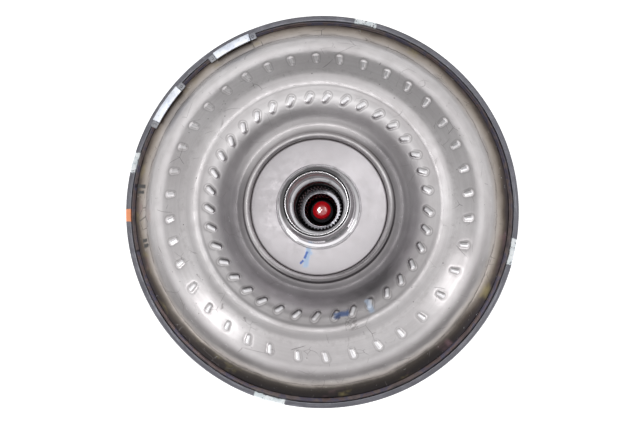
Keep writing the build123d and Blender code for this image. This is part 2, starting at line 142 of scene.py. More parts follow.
def arc_points(c, rad, a0, a1, n):
    a = np.radians(np.linspace(a0, a1, n))
    return [(c[0] + rad * math.cos(x), c[1] + rad * math.sin(x)) for x in a]


def rounded(points, radius, n=4):
    """Closed (r, z) polygon with its corners rounded. radius: number or list."""
    out = []
    m = len(points)
    for i in range(m):
        p = np.array(points[i], float)
        a = np.array(points[i - 1], float)
        b = np.array(points[(i + 1) % m], float)
        rad = radius[i] if isinstance(radius, (list, tuple)) else radius
        u, w = a - p, b - p
        lu, lw = np.hypot(*u), np.hypot(*w)
        if rad <= 0 or lu < 1e-6 or lw < 1e-6:
            out.append(p)
            continue
        u, w = u / lu, w / lw
        cut = min(rad, lu * 0.45, lw * 0.45)
        for k in range(n + 1):
            t = k / n
            out.append(p + u * cut * (1 - t) ** 2 + w * cut * t ** 2)
    return np.array(out)


def densify(loop, step):
    """More points on the long edges of a closed loop."""
    out = []
    m = len(loop)
    for i in range(m):
        a, b = np.array(loop[i], float), np.array(loop[(i + 1) % m], float)
        k = max(1, int(math.ceil(np.hypot(*(b - a)) / step)))
        for j in range(k):
            out.append(a + (b - a) * j / k)
    return np.array(out)


def waves(x, y, z, seed, scale, octaves=3):
    """Smooth deterministic noise, about -1 to 1, from sums of sines."""
    rng = np.random.RandomState(seed)
    total = np.zeros_like(x)
    amp, norm = 1.0, 0.0
    for o in range(octaves):
        for _ in range(5):
            d = rng.normal(size=3)
            d = d / np.linalg.norm(d) * TAU / scale * (1.9 ** o) * rng.uniform(0.7, 1.3)
            total += amp * np.sin(d[0] * x + d[1] * y + d[2] * z + rng.uniform(0, TAU))
        norm += amp * 2.2
        amp *= 0.5
    return total / norm


def tube(name, path, radius, sides=14, closed=False, caps=True):
    """Round tube along 3-D points (mm), carried without twist."""
    p = np.asarray(path, float)
    n = len(p)
    if closed:
        t = np.roll(p, -1, 0) - np.roll(p, 1, 0)
    else:
        t = np.gradient(p, axis=0)
    t /= np.linalg.norm(t, axis=1)[:, None]
    ref = np.array([0, 0, 1.0]) if abs(t[0][2]) < 0.9 else np.array([1.0, 0, 0])
    u = np.cross(t[0], ref)
    u /= np.linalg.norm(u)
    rows = []
    rad = np.broadcast_to(np.asarray(radius, float), (n,))
    for i in range(n):
        u = u - t[i] * np.dot(u, t[i])
        u /= np.linalg.norm(u)
        w = np.cross(t[i], u)
        a = np.arange(sides) / sides * TAU
        rows.append(p[i] + rad[i] * (np.cos(a)[:, None] * u + np.sin(a)[:, None] * w))
    v = np.concatenate(rows)
    f = grid_faces(n, sides, True, closed)
    if caps and not closed:
        f.append(tuple(range(sides))[::-1])
        f.append(tuple((n - 1) * sides + k for k in range(sides)))
    return outward(make_object(name, v, f))


def join(name, obs):
    """One object from several, with no operators."""
    verts, faces, base = [], [], 0
    for o in obs:
        co = np.array([v.co for v in o.data.vertices]).reshape(-1, 3)
        verts.append(co / MM)
        faces += [tuple(base + i for i in q.vertices) for q in o.data.polygons]
        base += len(co)
        me = o.data
        bpy.data.objects.remove(o)
        bpy.data.meshes.remove(me)
    return make_object(name, np.concatenate(verts), faces)


def spin_z(ob, degrees):
    a = math.radians(degrees)
    co = np.empty(len(ob.data.vertices) * 3)
    ob.data.vertices.foreach_get("co", co)
    co = co.reshape(-1, 3)
    c, s = math.cos(a), math.sin(a)
    ob.data.vertices.foreach_set(
        "co", np.stack([co[:, 0] * c - co[:, 1] * s, co[:, 0] * s + co[:, 1] * c, co[:, 2]], 1).ravel())
    ob.data.update()
    return ob


# =====================================================================
# material helpers
# =====================================================================


class Mat:
    def __init__(self, name):
        self.m = bpy.data.materials.new(name)
        self.m.use_nodes = True
        self.t = self.m.node_tree
        self.t.nodes.clear()
        self.out = self.t.nodes.new("ShaderNodeOutputMaterial")
        self.b = self.t.nodes.new("ShaderNodeBsdfPrincipled")
        self.t.links.new(self.b.outputs[0], self.out.inputs[0])
        self.co = self.t.nodes.new("ShaderNodeTexCoord").outputs["Object"]
        s = self.t.nodes.new("ShaderNodeSeparateXYZ")
        self.link(self.co, s.inputs[0])
        self.x, self.y, self.z = s.outputs
        self._r = None

    def link(self, a, b):
        if isinstance(a, (int, float)):
            b.default_value = a
        elif isinstance(a, (tuple, list)):
            b.default_value = tuple(a) + ((1.0,) if len(b.default_value) == 4 and len(a) == 3 else ())
        else:
            self.t.links.new(a, b)

    def math(self, op, a, b=None, c=None, clamp=False):
        n = self.t.nodes.new("ShaderNodeMath")
        n.operation = op
        n.use_clamp = clamp
        self.link(a, n.inputs[0])
        if b is not None:
            self.link(b, n.inputs[1])
        if c is not None:
            self.link(c, n.inputs[2])
        return n.outputs[0]

    def add(self, a, b): return self.math("ADD", a, b)
    def sub(self, a, b): return self.math("SUBTRACT", a, b)
    def mul(self, a, b): return self.math("MULTIPLY", a, b)
    def mx(self, a, b): return self.math("MAXIMUM", a, b)
    def mn(self, a, b): return self.math("MINIMUM", a, b)

    @property
    def r(self):
        if self._r is None:
            self._r = self.math("SQRT", self.add(self.mul(self.x, self.x), self.mul(self.y, self.y)))
        return self._r

    def step(self, v, lo, hi, a=0.0, b=1.0, smooth=True):
        n = self.t.nodes.new("ShaderNodeMapRange")
        n.interpolation_type = "SMOOTHSTEP" if smooth else "LINEAR"
        n.clamp = True
        self.link(v, n.inputs["Value"])
        self.link(lo, n.inputs["From Min"])
        self.link(hi, n.inputs["From Max"])
        self.link(a, n.inputs["To Min"])
        self.link(b, n.inputs["To Max"])
        return n.outputs["Result"]

    def band(self, v, lo, hi, soft):
        return self.mul(self.step(v, lo - soft, lo + soft), self.step(v, hi - soft, hi + soft, 1.0, 0.0))

    def combine(self, x, y, z):
        n = self.t.nodes.new("ShaderNodeCombineXYZ")
        self.link(x, n.inputs[0]); self.link(y, n.inputs[1]); self.link(z, n.inputs[2])
        return n.outputs[0]

    def noise(self, scale, detail=4.0, rough=0.55, vec=None, dist=0.0, out="Fac"):
        n = self.t.nodes.new("ShaderNodeTexNoise")
        self.link(vec if vec is not None else self.co, n.inputs["Vector"])
        n.inputs["Scale"].default_value = scale
        n.inputs["Detail"].default_value = detail
        n.inputs["Roughness"].default_value = rough
        n.inputs["Distortion"].default_value = dist
        return n.outputs[out]

    def cells(self, scale, feature="F1", vec=None, out="Distance", rand=1.0):
        n = self.t.nodes.new("ShaderNodeTexVoronoi")
        n.feature = feature
        self.link(vec if vec is not None else self.co, n.inputs["Vector"])
        n.inputs["Scale"].default_value = scale
        n.inputs["Randomness"].default_value = rand
        return n.outputs[out]

    def ramp(self, fac, stops, mode="LINEAR"):
        n = self.t.nodes.new("ShaderNodeValToRGB")
        n.color_ramp.interpolation = mode
        e = n.color_ramp.elements
        while len(e) > 1:
            e.remove(e[-1])
        e[0].position = stops[0][0]
        e[0].color = tuple(stops[0][1]) + (1.0,)
        for pos, col in stops[1:]:
            x = e.new(pos)
            x.color = tuple(col) + (1.0,)
        self.link(fac, n.inputs[0])
        return n.outputs[0]

    def mix(self, fac, a, b, mode="MIX"):
        n = self.t.nodes.new("ShaderNodeMix")
        n.data_type = "RGBA"
        n.blend_type = mode
        self.link(fac, n.inputs["Factor"])
        self.link(a, n.inputs[6])
        self.link(b, n.inputs[7])
        return n.outputs[2]

    def turned_lines(self, per_mm=1.0, along_z=False, detail=3.0):
        """Fine circular tool marks: noise stretched round the axis."""
        ux = self.math("DIVIDE", self.x, self.mx(self.r, 1e-4))
        uy = self.math("DIVIDE", self.y, self.mx(self.r, 1e-4))
        k = 1000.0 * per_mm
        v = self.combine(self.mul(ux, 1.2), self.mul(uy, 1.2),
                         self.add(self.mul(self.r, k), self.mul(self.z, k)))
        return self.noise(1.0, detail, 0.6, vec=v)

    def scratches(self, scale, width, seed, density):
        """Thin random lines, 0 to 1."""
        off = self.combine(self.add(self.x, seed * 0.31), self.add(self.y, seed * 0.17), self.z)
        warp = self.noise(scale * 0.6, 2.0, 0.5, vec=off, out="Color")
        v = self.t.nodes.new("ShaderNodeVectorMath")
        v.operation = "MULTIPLY_ADD"
        self.link(warp, v.inputs[0])
        v.inputs[1].default_value = (0.5 / scale,) * 3
        self.link(off, v.inputs[2])
        line = self.cells(scale, "DISTANCE_TO_EDGE", vec=v.outputs[0])
        thin = self.step(line, 0.0, width, 1.0, 0.0)
        keep = self.step(self.noise(scale * 1.3, 2.0, 0.5, vec=off), 1 - density, 1 - density + 0.06)
        return self.mul(thin, keep)

    def patch(self, deg, half, r0, r1, soft=0.4, jitter=0.0, jscale=900.0):
        """Mark at an azimuth: half width and radii in mm."""
        a = math.radians(deg)
        t = self.add(self.mul(self.x, math.cos(a)), self.mul(self.y, math.sin(a)))
        s = self.add(self.mul(self.x, -math.sin(a)), self.mul(self.y, math.cos(a)))
        s = self.math("ABSOLUTE", s)
        if jitter:
            nz = self.sub(self.noise(jscale, 3.0, 0.6), 0.5)
            s = self.add(s, self.mul(nz, jitter * MM))
            rr = self.add(self.r, self.mul(nz, -jitter * MM))
        else:
            rr = self.r
        m = self.step(s, (half - soft) * MM, (half + soft) * MM, 1.0, 0.0)
        m = self.mul(m, self.band(rr, r0 * MM, r1 * MM, soft * MM))
        return self.mul(m, self.step(t, 0.0, 0.001))

    def bump(self, height, distance, strength=1.0, prev=None):
        n = self.t.nodes.new("ShaderNodeBump")
        n.inputs["Strength"].default_value = strength
        n.inputs["Distance"].default_value = distance
        self.link(height, n.inputs["Height"])
        if prev is not None:
            self.link(prev, n.inputs["Normal"])
        return n.outputs[0]

    def finish(self, color=None, rough=None, metal=None, normal=None, **fixed):
        if color is not None:
            self.link(color, self.b.inputs["Base Color"])
        if rough is not None:
            self.link(rough, self.b.inputs["Roughness"])
        if metal is not None:
            self.link(metal, self.b.inputs["Metallic"])
        if normal is not None:
            self.link(normal, self.b.inputs["Normal"])
        for k, v in fixed.items():
            self.b.inputs[k.replace("_", " ")].default_value = v
        return self.m


def lin(r, g, b):
    f = lambda c: (c / 12.92) if c <= 0.04045 else ((c + 0.055) / 1.055) ** 2.4
    return (f(r / 255), f(g / 255), f(b / 255))


def metal(name, rgb, rough=0.35, turned=0.0, cast=0.0, grime=0.25, tint=None, wear=0.2, scale=90.0,
          oil=0.0):
    """General worked metal: tone drift, tool marks or casting grain, smudges, scratches."""
    m = Mat(name)
    c = lin(*rgb)
    big = m.noise(scale, 5.0, 0.6)
    fine = m.noise(scale * 14, 3.0, 0.6)
    dark = tuple(v * (1 - grime) for v in c)
    lite = tuple(min(1, v * (1 + 0.18)) for v in c)
    col = m.mix(m.step(big, 0.33, 0.68), dark, lite)
    if tint:
        col = m.mix(m.mul(m.step(m.noise(scale * 0.55, 3.0, 0.5), 0.52, 0.72), 0.6), col, lin(*tint))
    sc = m.scratches(220.0, 0.035, 3.0, 0.42)
    col = m.mix(m.mul(sc, wear), col, tuple(min(1, v * 1.7) for v in c))
    speck = m.step(m.cells(900.0), 0.0, 0.16, 1.0, 0.0)
    speck = m.mul(speck, m.step(fine, 0.56, 0.62))
    col = m.mix(m.mul(speck, 0.55), col, tuple(v * 0.25 for v in c))
    rg = m.step(big, 0.25, 0.75, rough - 0.07, rough + 0.1)
    rg = m.add(rg, m.mul(m.sub(fine, 0.5), 0.12))
    nrm = m.bump(fine, 0.00004, 0.25)
    if turned:
        lines = m.turned_lines(4.0)
        col = m.mix(m.mul(lines, 0.25 * turned), col, dark)
        nrm = m.bump(lines, 0.00003 * turned, 0.55, prev=nrm)
    if cast:
        grain = m.noise(1500.0, 3.0, 0.7)
        nrm = m.bump(grain, 0.00018 * cast, 0.6, prev=nrm)
    nrm = m.bump(sc, 0.00004, 0.3 * min(1.0, wear * 3), prev=nrm)
    return m.finish(col, rg, 1.0, nrm)


# =====================================================================
# impeller shell
# =====================================================================
N_MARK = 37
INNER_R, OUTER_R = 70.7, 96.4
INNER_AT = [8.5, 18.5, 28, 38, 47.5, 57, 67, 76, 86, 95, 105, 115, 124.5, 133.5, 143, 152.5, 162,
            171.5, 181, 191, 201, 210.5, 220, 229.5, 239, 249, 258.5, 268.5, 279, 288, 298, 308.5,
            318, 328, 338, 348, 357.5]
OUTER_AT = [5, 14.5, 24, 34, 44, 53.5, 63, 72.5, 82, 91, 100.5, 110, 119, 128, 137.5, 147, 156, 166,
            175, 184.5, 193, 202, 212.5, 222.5, 232.5, 242, 251, 262, 272.5, 283, 293, 303, 313, 324,
            334.5, 345, 355.5]

dome_keys = [(116.9, 73.4), (112.8, 81.5), (108.0, 88.8), (102.4, 94.9), (96.4, 99.2),
             (91.5, 102.4), (87.4, 104.55), (84.5, 105.35), (81.0, 105.65), (78.6, 105.5),
             (77.4, 105.1), (76.2, 104.45), (74.0, 103.6), (70.7, 102.3), (65.3, 98.9),
             (60.0, 95.3), (57.0, 93.9), (54.0, 93.35), (51.5, 93.75), (49.9, 94.5)]
dome = resample(catmull(dome_keys, 40), 0.5)
skirt_r = 128.4
foot = np.array([(skirt_r, 50.2), (skirt_r, 60.6), (128.1, 61.9), (127.3, 63.3), (126.3, 64.4)])
foot = np.vstack([foot, resample([(126.3, 64.4), (117.65, 72.55)], 0.5)[1:]])
ledge = np.array([(117.3, 72.75), (117.05, 73.05)])
groove = np.array([(49.55, 94.75), (49.35, 95.2), (49.25, 95.8)])
crown = np.array(arc_points((46.95, 96.95), 2.35, 0, 180, 19))
crown[:, 1] = 96.95 + (crown[:, 1] - 96.95) * 1.22
lip = np.array([(45.1, 96.9), (45.1, 92.6), (45.6, 92.0), (47.4, 90.75)])
_, nn = normals_of(dome)
inner_side = dome + nn * 3.2
inner_side = inner_side[(inner_side[:, 0] > 50.5)][::-3]
foot_in = np.array([(114.4, 71.0), (119.0, 66.6), (123.9, 62.0), (124.9, 60.9), (125.2, 59.4),
                    (125.2, 50.2)])
outer_line = np.vstack([foot, ledge, dome, groove, crown[::1]])
n_outer = len(outer_line)
loop = np.vstack([outer_line, lip, inner_side, foot_in])
tan, nrm_ = normals_of(outer_line)
s_len = np.r_[0, np.cumsum(np.hypot(*np.diff(outer_line, axis=0).T))]


def s_at(r):
    k = np.argmin(np.abs(outer_line[len(foot) + len(ledge):len(foot) + len(ledge) + len(dome), 0] - r))
    return s_len[len(foot) + len(ledge) + k]


S_IN, S_OUT = s_at(INNER_R), s_at(OUTER_R)


def bump_field(s, r, th):
    """Height of the pressed blade-tab marks, along the outward normal, in mm."""
    h = np.zeros_like(r)
    rng = np.random.RandomState(11)
    for ring_s, rad, at, length, width, height, skew in (
            (S_IN, INNER_R, INNER_AT, 7.4, 2.15, 1.15, -33.0),
            (S_OUT, OUTER_R, OUTER_AT, 7.8, 1.95, 1.00, 9.0)):
        for deg in at:
            j = rng.normal(size=4)
            a = math.radians(deg + 0.10 * j[0])
            dth = (th - a + math.pi) % TAU - math.pi
            near = (np.abs(dth) * rad < 9) & (np.abs(s - ring_s) < 9)
            if not near.any():
                continue
            u = -(s[near] - ring_s)            # outward along the surface
            v = dth[near] * r[near]
            k = math.radians(skew + 1.5 * j[1])
            along = u * math.cos(k) + v * math.sin(k)
            across = -u * math.sin(k) + v * math.cos(k)
            half = (length * (1 + 0.03 * j[2]) - 2 * width * 0.8) / 2
            ex = np.maximum(np.abs(along) - half, 0.0)
            w = width * (1 + (0.10 if rad > 80 else 0.0) * along / half)
            d = np.hypot(ex, across) / w
            q = np.clip(1 - d * d, 0, None)
            soft = 1.0 if rad < 80 else 1.0 - 0.42 * math.exp(-((deg % 360 - 118) / 58.0) ** 2)
            h[near] = np.maximum(h[near], height * soft * (1 + 0.06 * j[3]) * q ** (1.5 if rad < 80 else 1.8))
            # slight draw-in round each mark
            h[near] -= 0.10 * np.exp(-((d - 1.35) / 0.35) ** 2) * (q <= 0)
    return h


MARKS = {}


def shell_shape(r, z, t):
    n = r.shape[1]
    ro, zo, to = r[:n_outer], z[:n_outer], t[:n_outer]
    s = np.repeat(s_len[:, None], n, 1)
    h = bump_field(s, ro, to)
    MARKS["h"] = np.concatenate([h, np.zeros((r.shape[0] - h.shape[0], n))]).ravel()
    x, y = ro * np.cos(to), ro * np.sin(to)
    body = np.clip((116.5 - ro) / 3, 0, 1) * np.clip((ro - 50.5) / 3, 0, 1)
    h += body * (0.10 * waves(x, y, zo, 5, 46.0, 2) + 0.035 * waves(x, y, zo, 9, 13.0, 2))
    # the edge of the turned weld land wanders a little
    edge = np.exp(-((ro - 117.2) / 0.9) ** 2)
    h += edge * 0.25 * waves(x, y, zo * 0, 21, 22.0, 3)
    r = r.copy(); z = z.copy()
    r[:n_outer] -= nrm_[:, 0][:, None] * h
    z[:n_outer] -= nrm_[:, 1][:, None] * h
    return r, z, t


shell = spun("impeller_shell_skin", loop, N_MARK * 26, shell_shape)
mark = shell.data.attributes.new("mark", "FLOAT", "POINT")
mark.data.foreach_set("value", MARKS["h"].astype(np.float32))
outward(shell)
sharp(shell, 50)
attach(shell, "housing")
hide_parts("impeller_shell")

# ---- closure weld with ripples
bead = np.array([(128.65, 59.8), (128.65, 61.6), (128.45, 62.5), (128.0, 63.5), (127.3, 64.5),
                 (126.5, 65.2), (125.7, 65.5), (125.2, 65.55), (125.35, 65.2), (126.2, 64.35),
                 (127.2, 63.2), (128.0, 61.8), (128.3, 60.6), (128.35, 59.8)])
bead_w = np.array([0, .25, .8, 1, 1, 1, .7, .2, 0, 0, 0, 0, 0, 0])


def bead_shape(r, z, t):
    w = bead_w[:, None]
    x, y = r * np.cos(t), r * np.sin(t)
    lag = (r - 126.9) ** 2 * 0.012
    ripple = np.abs(np.sin((t * 430 + lag * 40 + 0.8 * waves(x, y, z * 0, 3, 30.0, 2)) / 1.0))
    h = w * (0.17 * ripple + 0.30 * waves(x, y, z * 0, 8, 26.0, 3) - 0.05)
    return r + 0.45 * h, z + 0.9 * h, t


weld = spun("closure_weld_bead", bead, 2600, bead_shape)
outward(weld)
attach(weld, "housing")
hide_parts("closure_weld")

# =====================================================================
# front cover
# =====================================================================
R0, T, RIM = 132.5, 3.8, 62.0
cc = (116.5, 26.0)
cov = [(10.05, 14.0), (30.0, 14.0), (60.0, 14.0), (85.0, 14.0)]
cov += [tuple(p) for p in catmull([(85.0, 14.0), (88.0, 13.75), (90.6, 12.6), (93.6, 10.75),
                                   (96.4, 10.08), (99.5, 10.0)], 5)[1:]]
cov += [(104.0, 10.0), (110.0, 10.0)]
cov += arc_points(cc, 16.0, -90, 0, 20)
cov += [(R0, z) for z in np.linspace(30, RIM - 1.0, 12)]
cov += arc_points((R0 - 0.9, RIM - 0.9), 0.9, 10, 90, 7)
cov += [(131.0, RIM), (130.2, RIM), (129.4, RIM), (129.05, RIM - 0.04), (128.8, RIM - 0.2),
        (128.7, RIM - 0.5)]
cov += [(128.7, z) for z in np.linspace(58, 28, 6)]
cov += arc_points(cc, 12.2, 0, -90, 14)
cov += [tuple(p) for p in catmull([(99.8, 13.8), (96.9, 14.1), (93.6, 15.8), (90.3, 17.4),
                                   (86.8, 17.8)], 4)]
cov += [(60.0, 17.8), (30.0, 17.8), (10.05, 17.8)]


def cover_shape(r, z, t):
    x, y = r * np.cos(t), r * np.sin(t)
    edge = np.clip((z - 60.8) / 1.2, 0, 1)
    h = edge * 0.08 * waves(x, y, z * 0, 31, 9.0, 3)
    return r, z + h - edge * 0.06, t


cover = spun("front_cover_skin", cov, 900, cover_shape)
outward(cover)
sharp(cover, 40)
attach(cover, "housing")
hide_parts("front_cover")

# ---- pilot
pil = rounded([(0.02, 1.9), (3.6, 1.9), (5.2, 3.4), (7.0, 1.5), (14.4, 1.5), (16.0, 3.1),
               (16.0, 10.8), (15.6, 11.2), (15.6, 14.0), (9.95, 14.0), (9.95, 17.8), (0.02, 17.8)],
              [0, .3, .4, .5, .4, .4, .1, .1, 0, 0, .2, 0])
pilot = outward(spun("cover_pilot_turned", densify(pil, 2.5), 180))
sharp(pilot, 40)
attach(pilot, "housing")
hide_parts("cover_pilot")

pw = np.array([(15.6, 13.95), (15.6, 11.6), (16.3, 11.7), (17.2, 12.3), (18.0, 13.0), (18.7, 13.7),
               (18.9, 13.95)])
pww = np.array([0, .3, 1, 1, 1, .3, 0])


def pw_shape(r, z, t):
    x, y = r * np.cos(t), r * np.sin(t)
    rip = np.abs(np.sin(t * 52 + (r - 17.2) ** 2 * 0.6))
    h = pww[:, None] * (0.22 * rip + 0.2 * waves(x, y, z * 0, 14, 9.0, 2) - 0.1)
    return r + 0.5 * h, z - 0.8 * h, t


pweld = outward(spun("pilot_weld_bead", pw, 520, pw_shape))
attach(pweld, "housing")
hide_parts("pilot_weld")


# ---- lugs with tapped holes
def lug_mesh(name):
    n = 128
    phi = np.arange(n) / n * TAU
    hx, hy, rad = 10.0, 19.0, 4.0

    def outline(inset):
        ax, ay, rr = hx - inset, hy - inset, max(rad - inset, 0.5)
        pts = []
        for p in phi:
            d = np.array([math.cos(p), math.sin(p)])
            lo, hi = 0.0, 40.0
            for _ in range(40):
                mid = (lo + hi) / 2
                q = np.abs(d * mid) - np.array([ax - rr, ay - rr])
                inside = (np.hypot(*np.maximum(q, 0)) + min(max(q[0], q[1]), 0)) < rr
                lo, hi = (mid, hi) if inside else (lo, mid)
            pts.append(d * lo)
        return np.array(pts)

    rows = []

    def put(xy, z):
        rows.append(np.c_[xy + np.array([111.0, 0]), np.full(n, z) if np.isscalar(z) else z])

    circ = np.c_[np.cos(phi), np.sin(phi)]
    put(outline(0), 9.97)
    put(outline(0), 6.0)
    put(outline(0), 1.3)
    for k in range(1, 6):
        a = k / 5 * math.pi / 2
        put(outline(1.1 * (1 - math.cos(a))), 1.3 - 1.3 * math.sin(a) + (0.0))
    put(outline(4.0), 0.0)
    put(circ * 7.0, 0.0)
    put(circ * 5.9, 0.0)
    put(circ * 5.5, 0.12)
    pitch = 1.25
    zz = np.arange(0.6, 9.9, pitch / 7)
    for z in zz:
        ph = (z / pitch - phi / TAU) % 1.0
        tri = np.abs(ph * 2 - 1)
        fade = np.clip((z - 0.5) / 1.2, 0, 1)
        rr = 4.42 + 0.62 * np.clip(tri * 1.25 - 0.12, 0, 1) * fade + (1 - fade) * 0.75
        put(circ * rr[:, None], z)
    put(circ * 4.42, 9.97)
    v = np.concatenate(rows)
    return outward(make_object(name, v, grid_faces(len(rows), n, True, True)))


lugs = join("mounting_lugs_tapped", [spin_z(lug_mesh(f"lug{i}"), 76 + 90 * i) for i in range(4)])
sharp(lugs, 38)
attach(lugs, "housing")
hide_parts("mounting_lugs")


def lug_seam(side, seed):
    n, k = 60, 9
    xs = np.linspace(105.3, 115.9, n)
    rows = []
    for i, x in enumerate(xs):
        end = min(1.0, min(i, n - 1 - i) / 5.0)
        end = math.sqrt(max(end, 0.02))
        rip = 0.28 * abs(math.sin(i * 0.62)) + 0.25 * math.sin(i * 0.21 + seed)
        row = []
        for j in range(k):
            a = j / (k - 1) * math.pi / 2
            rad = (3.3 + rip * 0.5) * end
            row.append((x, side * (19.0 + rad * math.sin(a) * 0.92), 10.0 - rad * math.cos(a) * 0.92))
        row.append((x, side * 19.0, 10.0))
        rows.append(row)
    v = np.array(rows).reshape(-1, 3)
    m = k + 1
    f = grid_faces(n, m, True, False)
    f.append(tuple(range(m)))
    f.append(tuple((n - 1) * m + j for j in range(m))[::-1])
    return outward(make_object(f"seam{seed}", v, f))


seams = join("lug_weld_beads", [spin_z(lug_seam(s, 2 * i + (s > 0)), 76 + 90 * i)
                                for i in range(4) for s in (1, -1)])
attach(seams, "housing")
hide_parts("lug_welds")

# =====================================================================
# impeller hub and neck
# =====================================================================
hub_pts = [(15.8, 91.2), (40.0, 91.2), (41.5, 92.9), (44.3, 92.9), (44.3, 97.1), (43.5, 97.75),
           (38.4, 98.0), (27.6, 98.55)]
hub_rad = [.3, .5, .5, .3, .3, .5, .6, .3]
hub_prof = list(rounded(hub_pts, hub_rad, 4)[:])
hub_prof = [tuple(p) for p in hub_prof]
hub_prof += [tuple(p) for p in catmull([(27.2, 98.62), (26.5, 98.85), (26.1, 99.4), (25.3, 99.9),
                                        (24.3, 100.5), (23.75, 101.5)], 5)]
neck = [(23.75, 103.0), (23.75, 104.40), (23.75, 104.5), (23.75, 104.6), (23.75, 108), (23.75, 112),
        (23.75, 116), (23.75, 120), (23.75, 123.6)]
neck += [tuple(p) for p in catmull([(23.75, 124.0), (23.7, 124.8), (23.45, 125.6), (22.9, 127.0),
                                    (22.0, 129.2), (21.6, 130.2), (21.35, 130.7), (21.1, 130.9)], 5)]
neck += [(20.95, 130.93), (20.9, 130.85), (20.84, 130.6), (20.82, 128.7), (20.6, 128.4),
         (20.2, 128.4), (20.02, 128.7), (20.0, 130.6), (19.95, 130.9), (19.85, 131.0),
         (19.55, 131.0), (19.4, 130.92), (19.32, 130.7), (19.3, 129.0), (19.3, 127.4),
         (19.24, 127.2), (18.98, 127.1), (18.9, 127.0), (18.9, 124.4), (18.94, 124.2), (19.2, 124.1),
         (19.28, 123.9), (19.28, 122.4), (19.2, 122.2), (18.94, 122.1), (18.9, 121.9),
         (18.9, 116.0), (18.9, 112.0), (18.9, 108.0), (18.9, 104.2), (18.84, 103.2), (18.5, 102.6),
         (18.2, 102.5), (17.5, 102.45), (17.0, 102.3), (16.8, 102.05), (16.5, 101.95),
         (16.05, 101.5), (15.8, 100.9), (15.8, 97.0)]
hub_loop = hub_prof + neck
FLAT_D, FLAT_A = 22.2, 303.0


def hub_shape(r, z, t):
    r = r.copy(); z = z.copy()
    outer_n = (r > 21.0) & (z > 104.45) & (z < 127.6)
    for a in (FLAT_A, FLAT_A + 180):
        c = np.cos(t - math.radians(a))
        lim = np.where(c > 0.2, FLAT_D / np.maximum(c, 0.2), 99.0)
        r = np.where(outer_n & (r > lim), lim, r)
    return r, z, t


hub = spun("impeller_hub_turned", hub_loop, 960, hub_shape)
outward(hub)
sharp(hub, 30)
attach(hub, "housing")
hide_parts("impeller_hub")

hw = np.array([(44.3, 92.8), (44.3, 96.2), (44.5, 96.45), (44.7, 96.5), (44.9, 96.45), (45.1, 96.2),
               (45.1, 92.8)])


def hw_shape(r, z, t):
    w = np.array([0, 0.3, 1, 1, 1, 0.3, 0])[:, None]
    x, y = r * np.cos(t), r * np.sin(t)
    return r, z + w * (0.12 * np.abs(np.sin(t * 140)) + 0.12 * waves(x, y, z * 0, 2, 12.0, 2)), t


hweld = outward(spun("hub_weld_bead", hw, 900, hw_shape))
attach(hweld, "housing")
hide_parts("hub_weld")

# =====================================================================
# balance weights: bent bars with spot-weld tabs
# =====================================================================


def weight_bar(name, a0, a1, seed):
    n = 150
    t = np.radians(np.linspace(a0, a1, n))
    tab = math.radians(1.9)
    rows = []
    sec = 28
    rng = np.random.RandomState(seed)
    for i, a in enumerate(t):
        d = min(a - t[0], t[-1] - a)
        k = min(1.0, max(0.0, (d - tab) / math.radians(0.22)))
        k = k * k * (3 - 2 * k)
        top = 66.6 + (68.85 - 66.6) * k
        r_in, r_out = 124.2 - 0.5 * k, 128.75 + 0.2 * k
        end = min(1.0, d / math.radians(0.35) + 0.35)
        base_in, base_out = 66.1, 62.4
        poly = [(r_in, base_in), (r_in, top), (r_out, top), (r_out, base_out)]
        ring_pts = rounded(poly, [0.05, 0.75 * end, 0.65 * end, 0.05], 6)
        c = ring_pts.mean(0)
        ring_pts = c + (ring_pts - c) * (0.82 + 0.18 * end)
        rows.append([(p[0] * math.cos(a), p[0] * math.sin(a), p[1]) for p in ring_pts])
    m = len(rows[0])
    v = np.array(rows).reshape(-1, 3)
    h = waves(v[:, 0], v[:, 1], v[:, 2], seed, 14.0, 3)
    v[:, 2] += 0.10 * h * (v[:, 2] > 66.4)
    f = grid_faces(n, m, True, False)
    f.append(tuple(range(m)))
    f.append(tuple((n - 1) * m + j for j in range(m))[::-1])
    bar = outward(make_object(name, v, f))
    nibs = []
    for a in (t[0] + tab * 0.55, t[-1] - tab * 0.55):
        pr = []
        for q in range(9):
            w = q / 8 * math.pi / 2
            pr.append((0.95 * math.cos(w) + 0.02, 66.3 + 0.75 * math.sin(w)))
        pr = [(0.97, 65.9)] + pr + [(0.02, 65.9)]
        nib = spun(name + "n", pr, 20)
        co = np.array([q.co for q in nib.data.vertices]).reshape(-1, 3)
        co += np.array([126.4 * math.cos(a), 126.4 * math.sin(a), 0]) * MM
        nib.data.vertices.foreach_set("co", co.ravel())
        nibs.append(outward(nib))
    return [bar] + nibs


bars = weight_bar("bar0", 110.4, 126.6, 4) + weight_bar("bar1", 137.4, 153.6, 6)
weights = join("balance_weight_bars", bars)
sharp(weights, 45)
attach(weights, "housing")
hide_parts("balance_weights")

# =====================================================================
# inside the neck: wire ring and residual fluid
# =====================================================================
ang = np.radians(np.linspace(298 + 9, 298 + 351, 150))
rad = 11.35 + 0.0 * ang
path = np.c_[rad * np.cos(ang), rad * np.sin(ang), np.full(len(ang), 67.15)]
wr = tube("hub_wire_ring_bent", path, 0.62, 16)
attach(wr, "turbine")
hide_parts("hub_wire_ring")

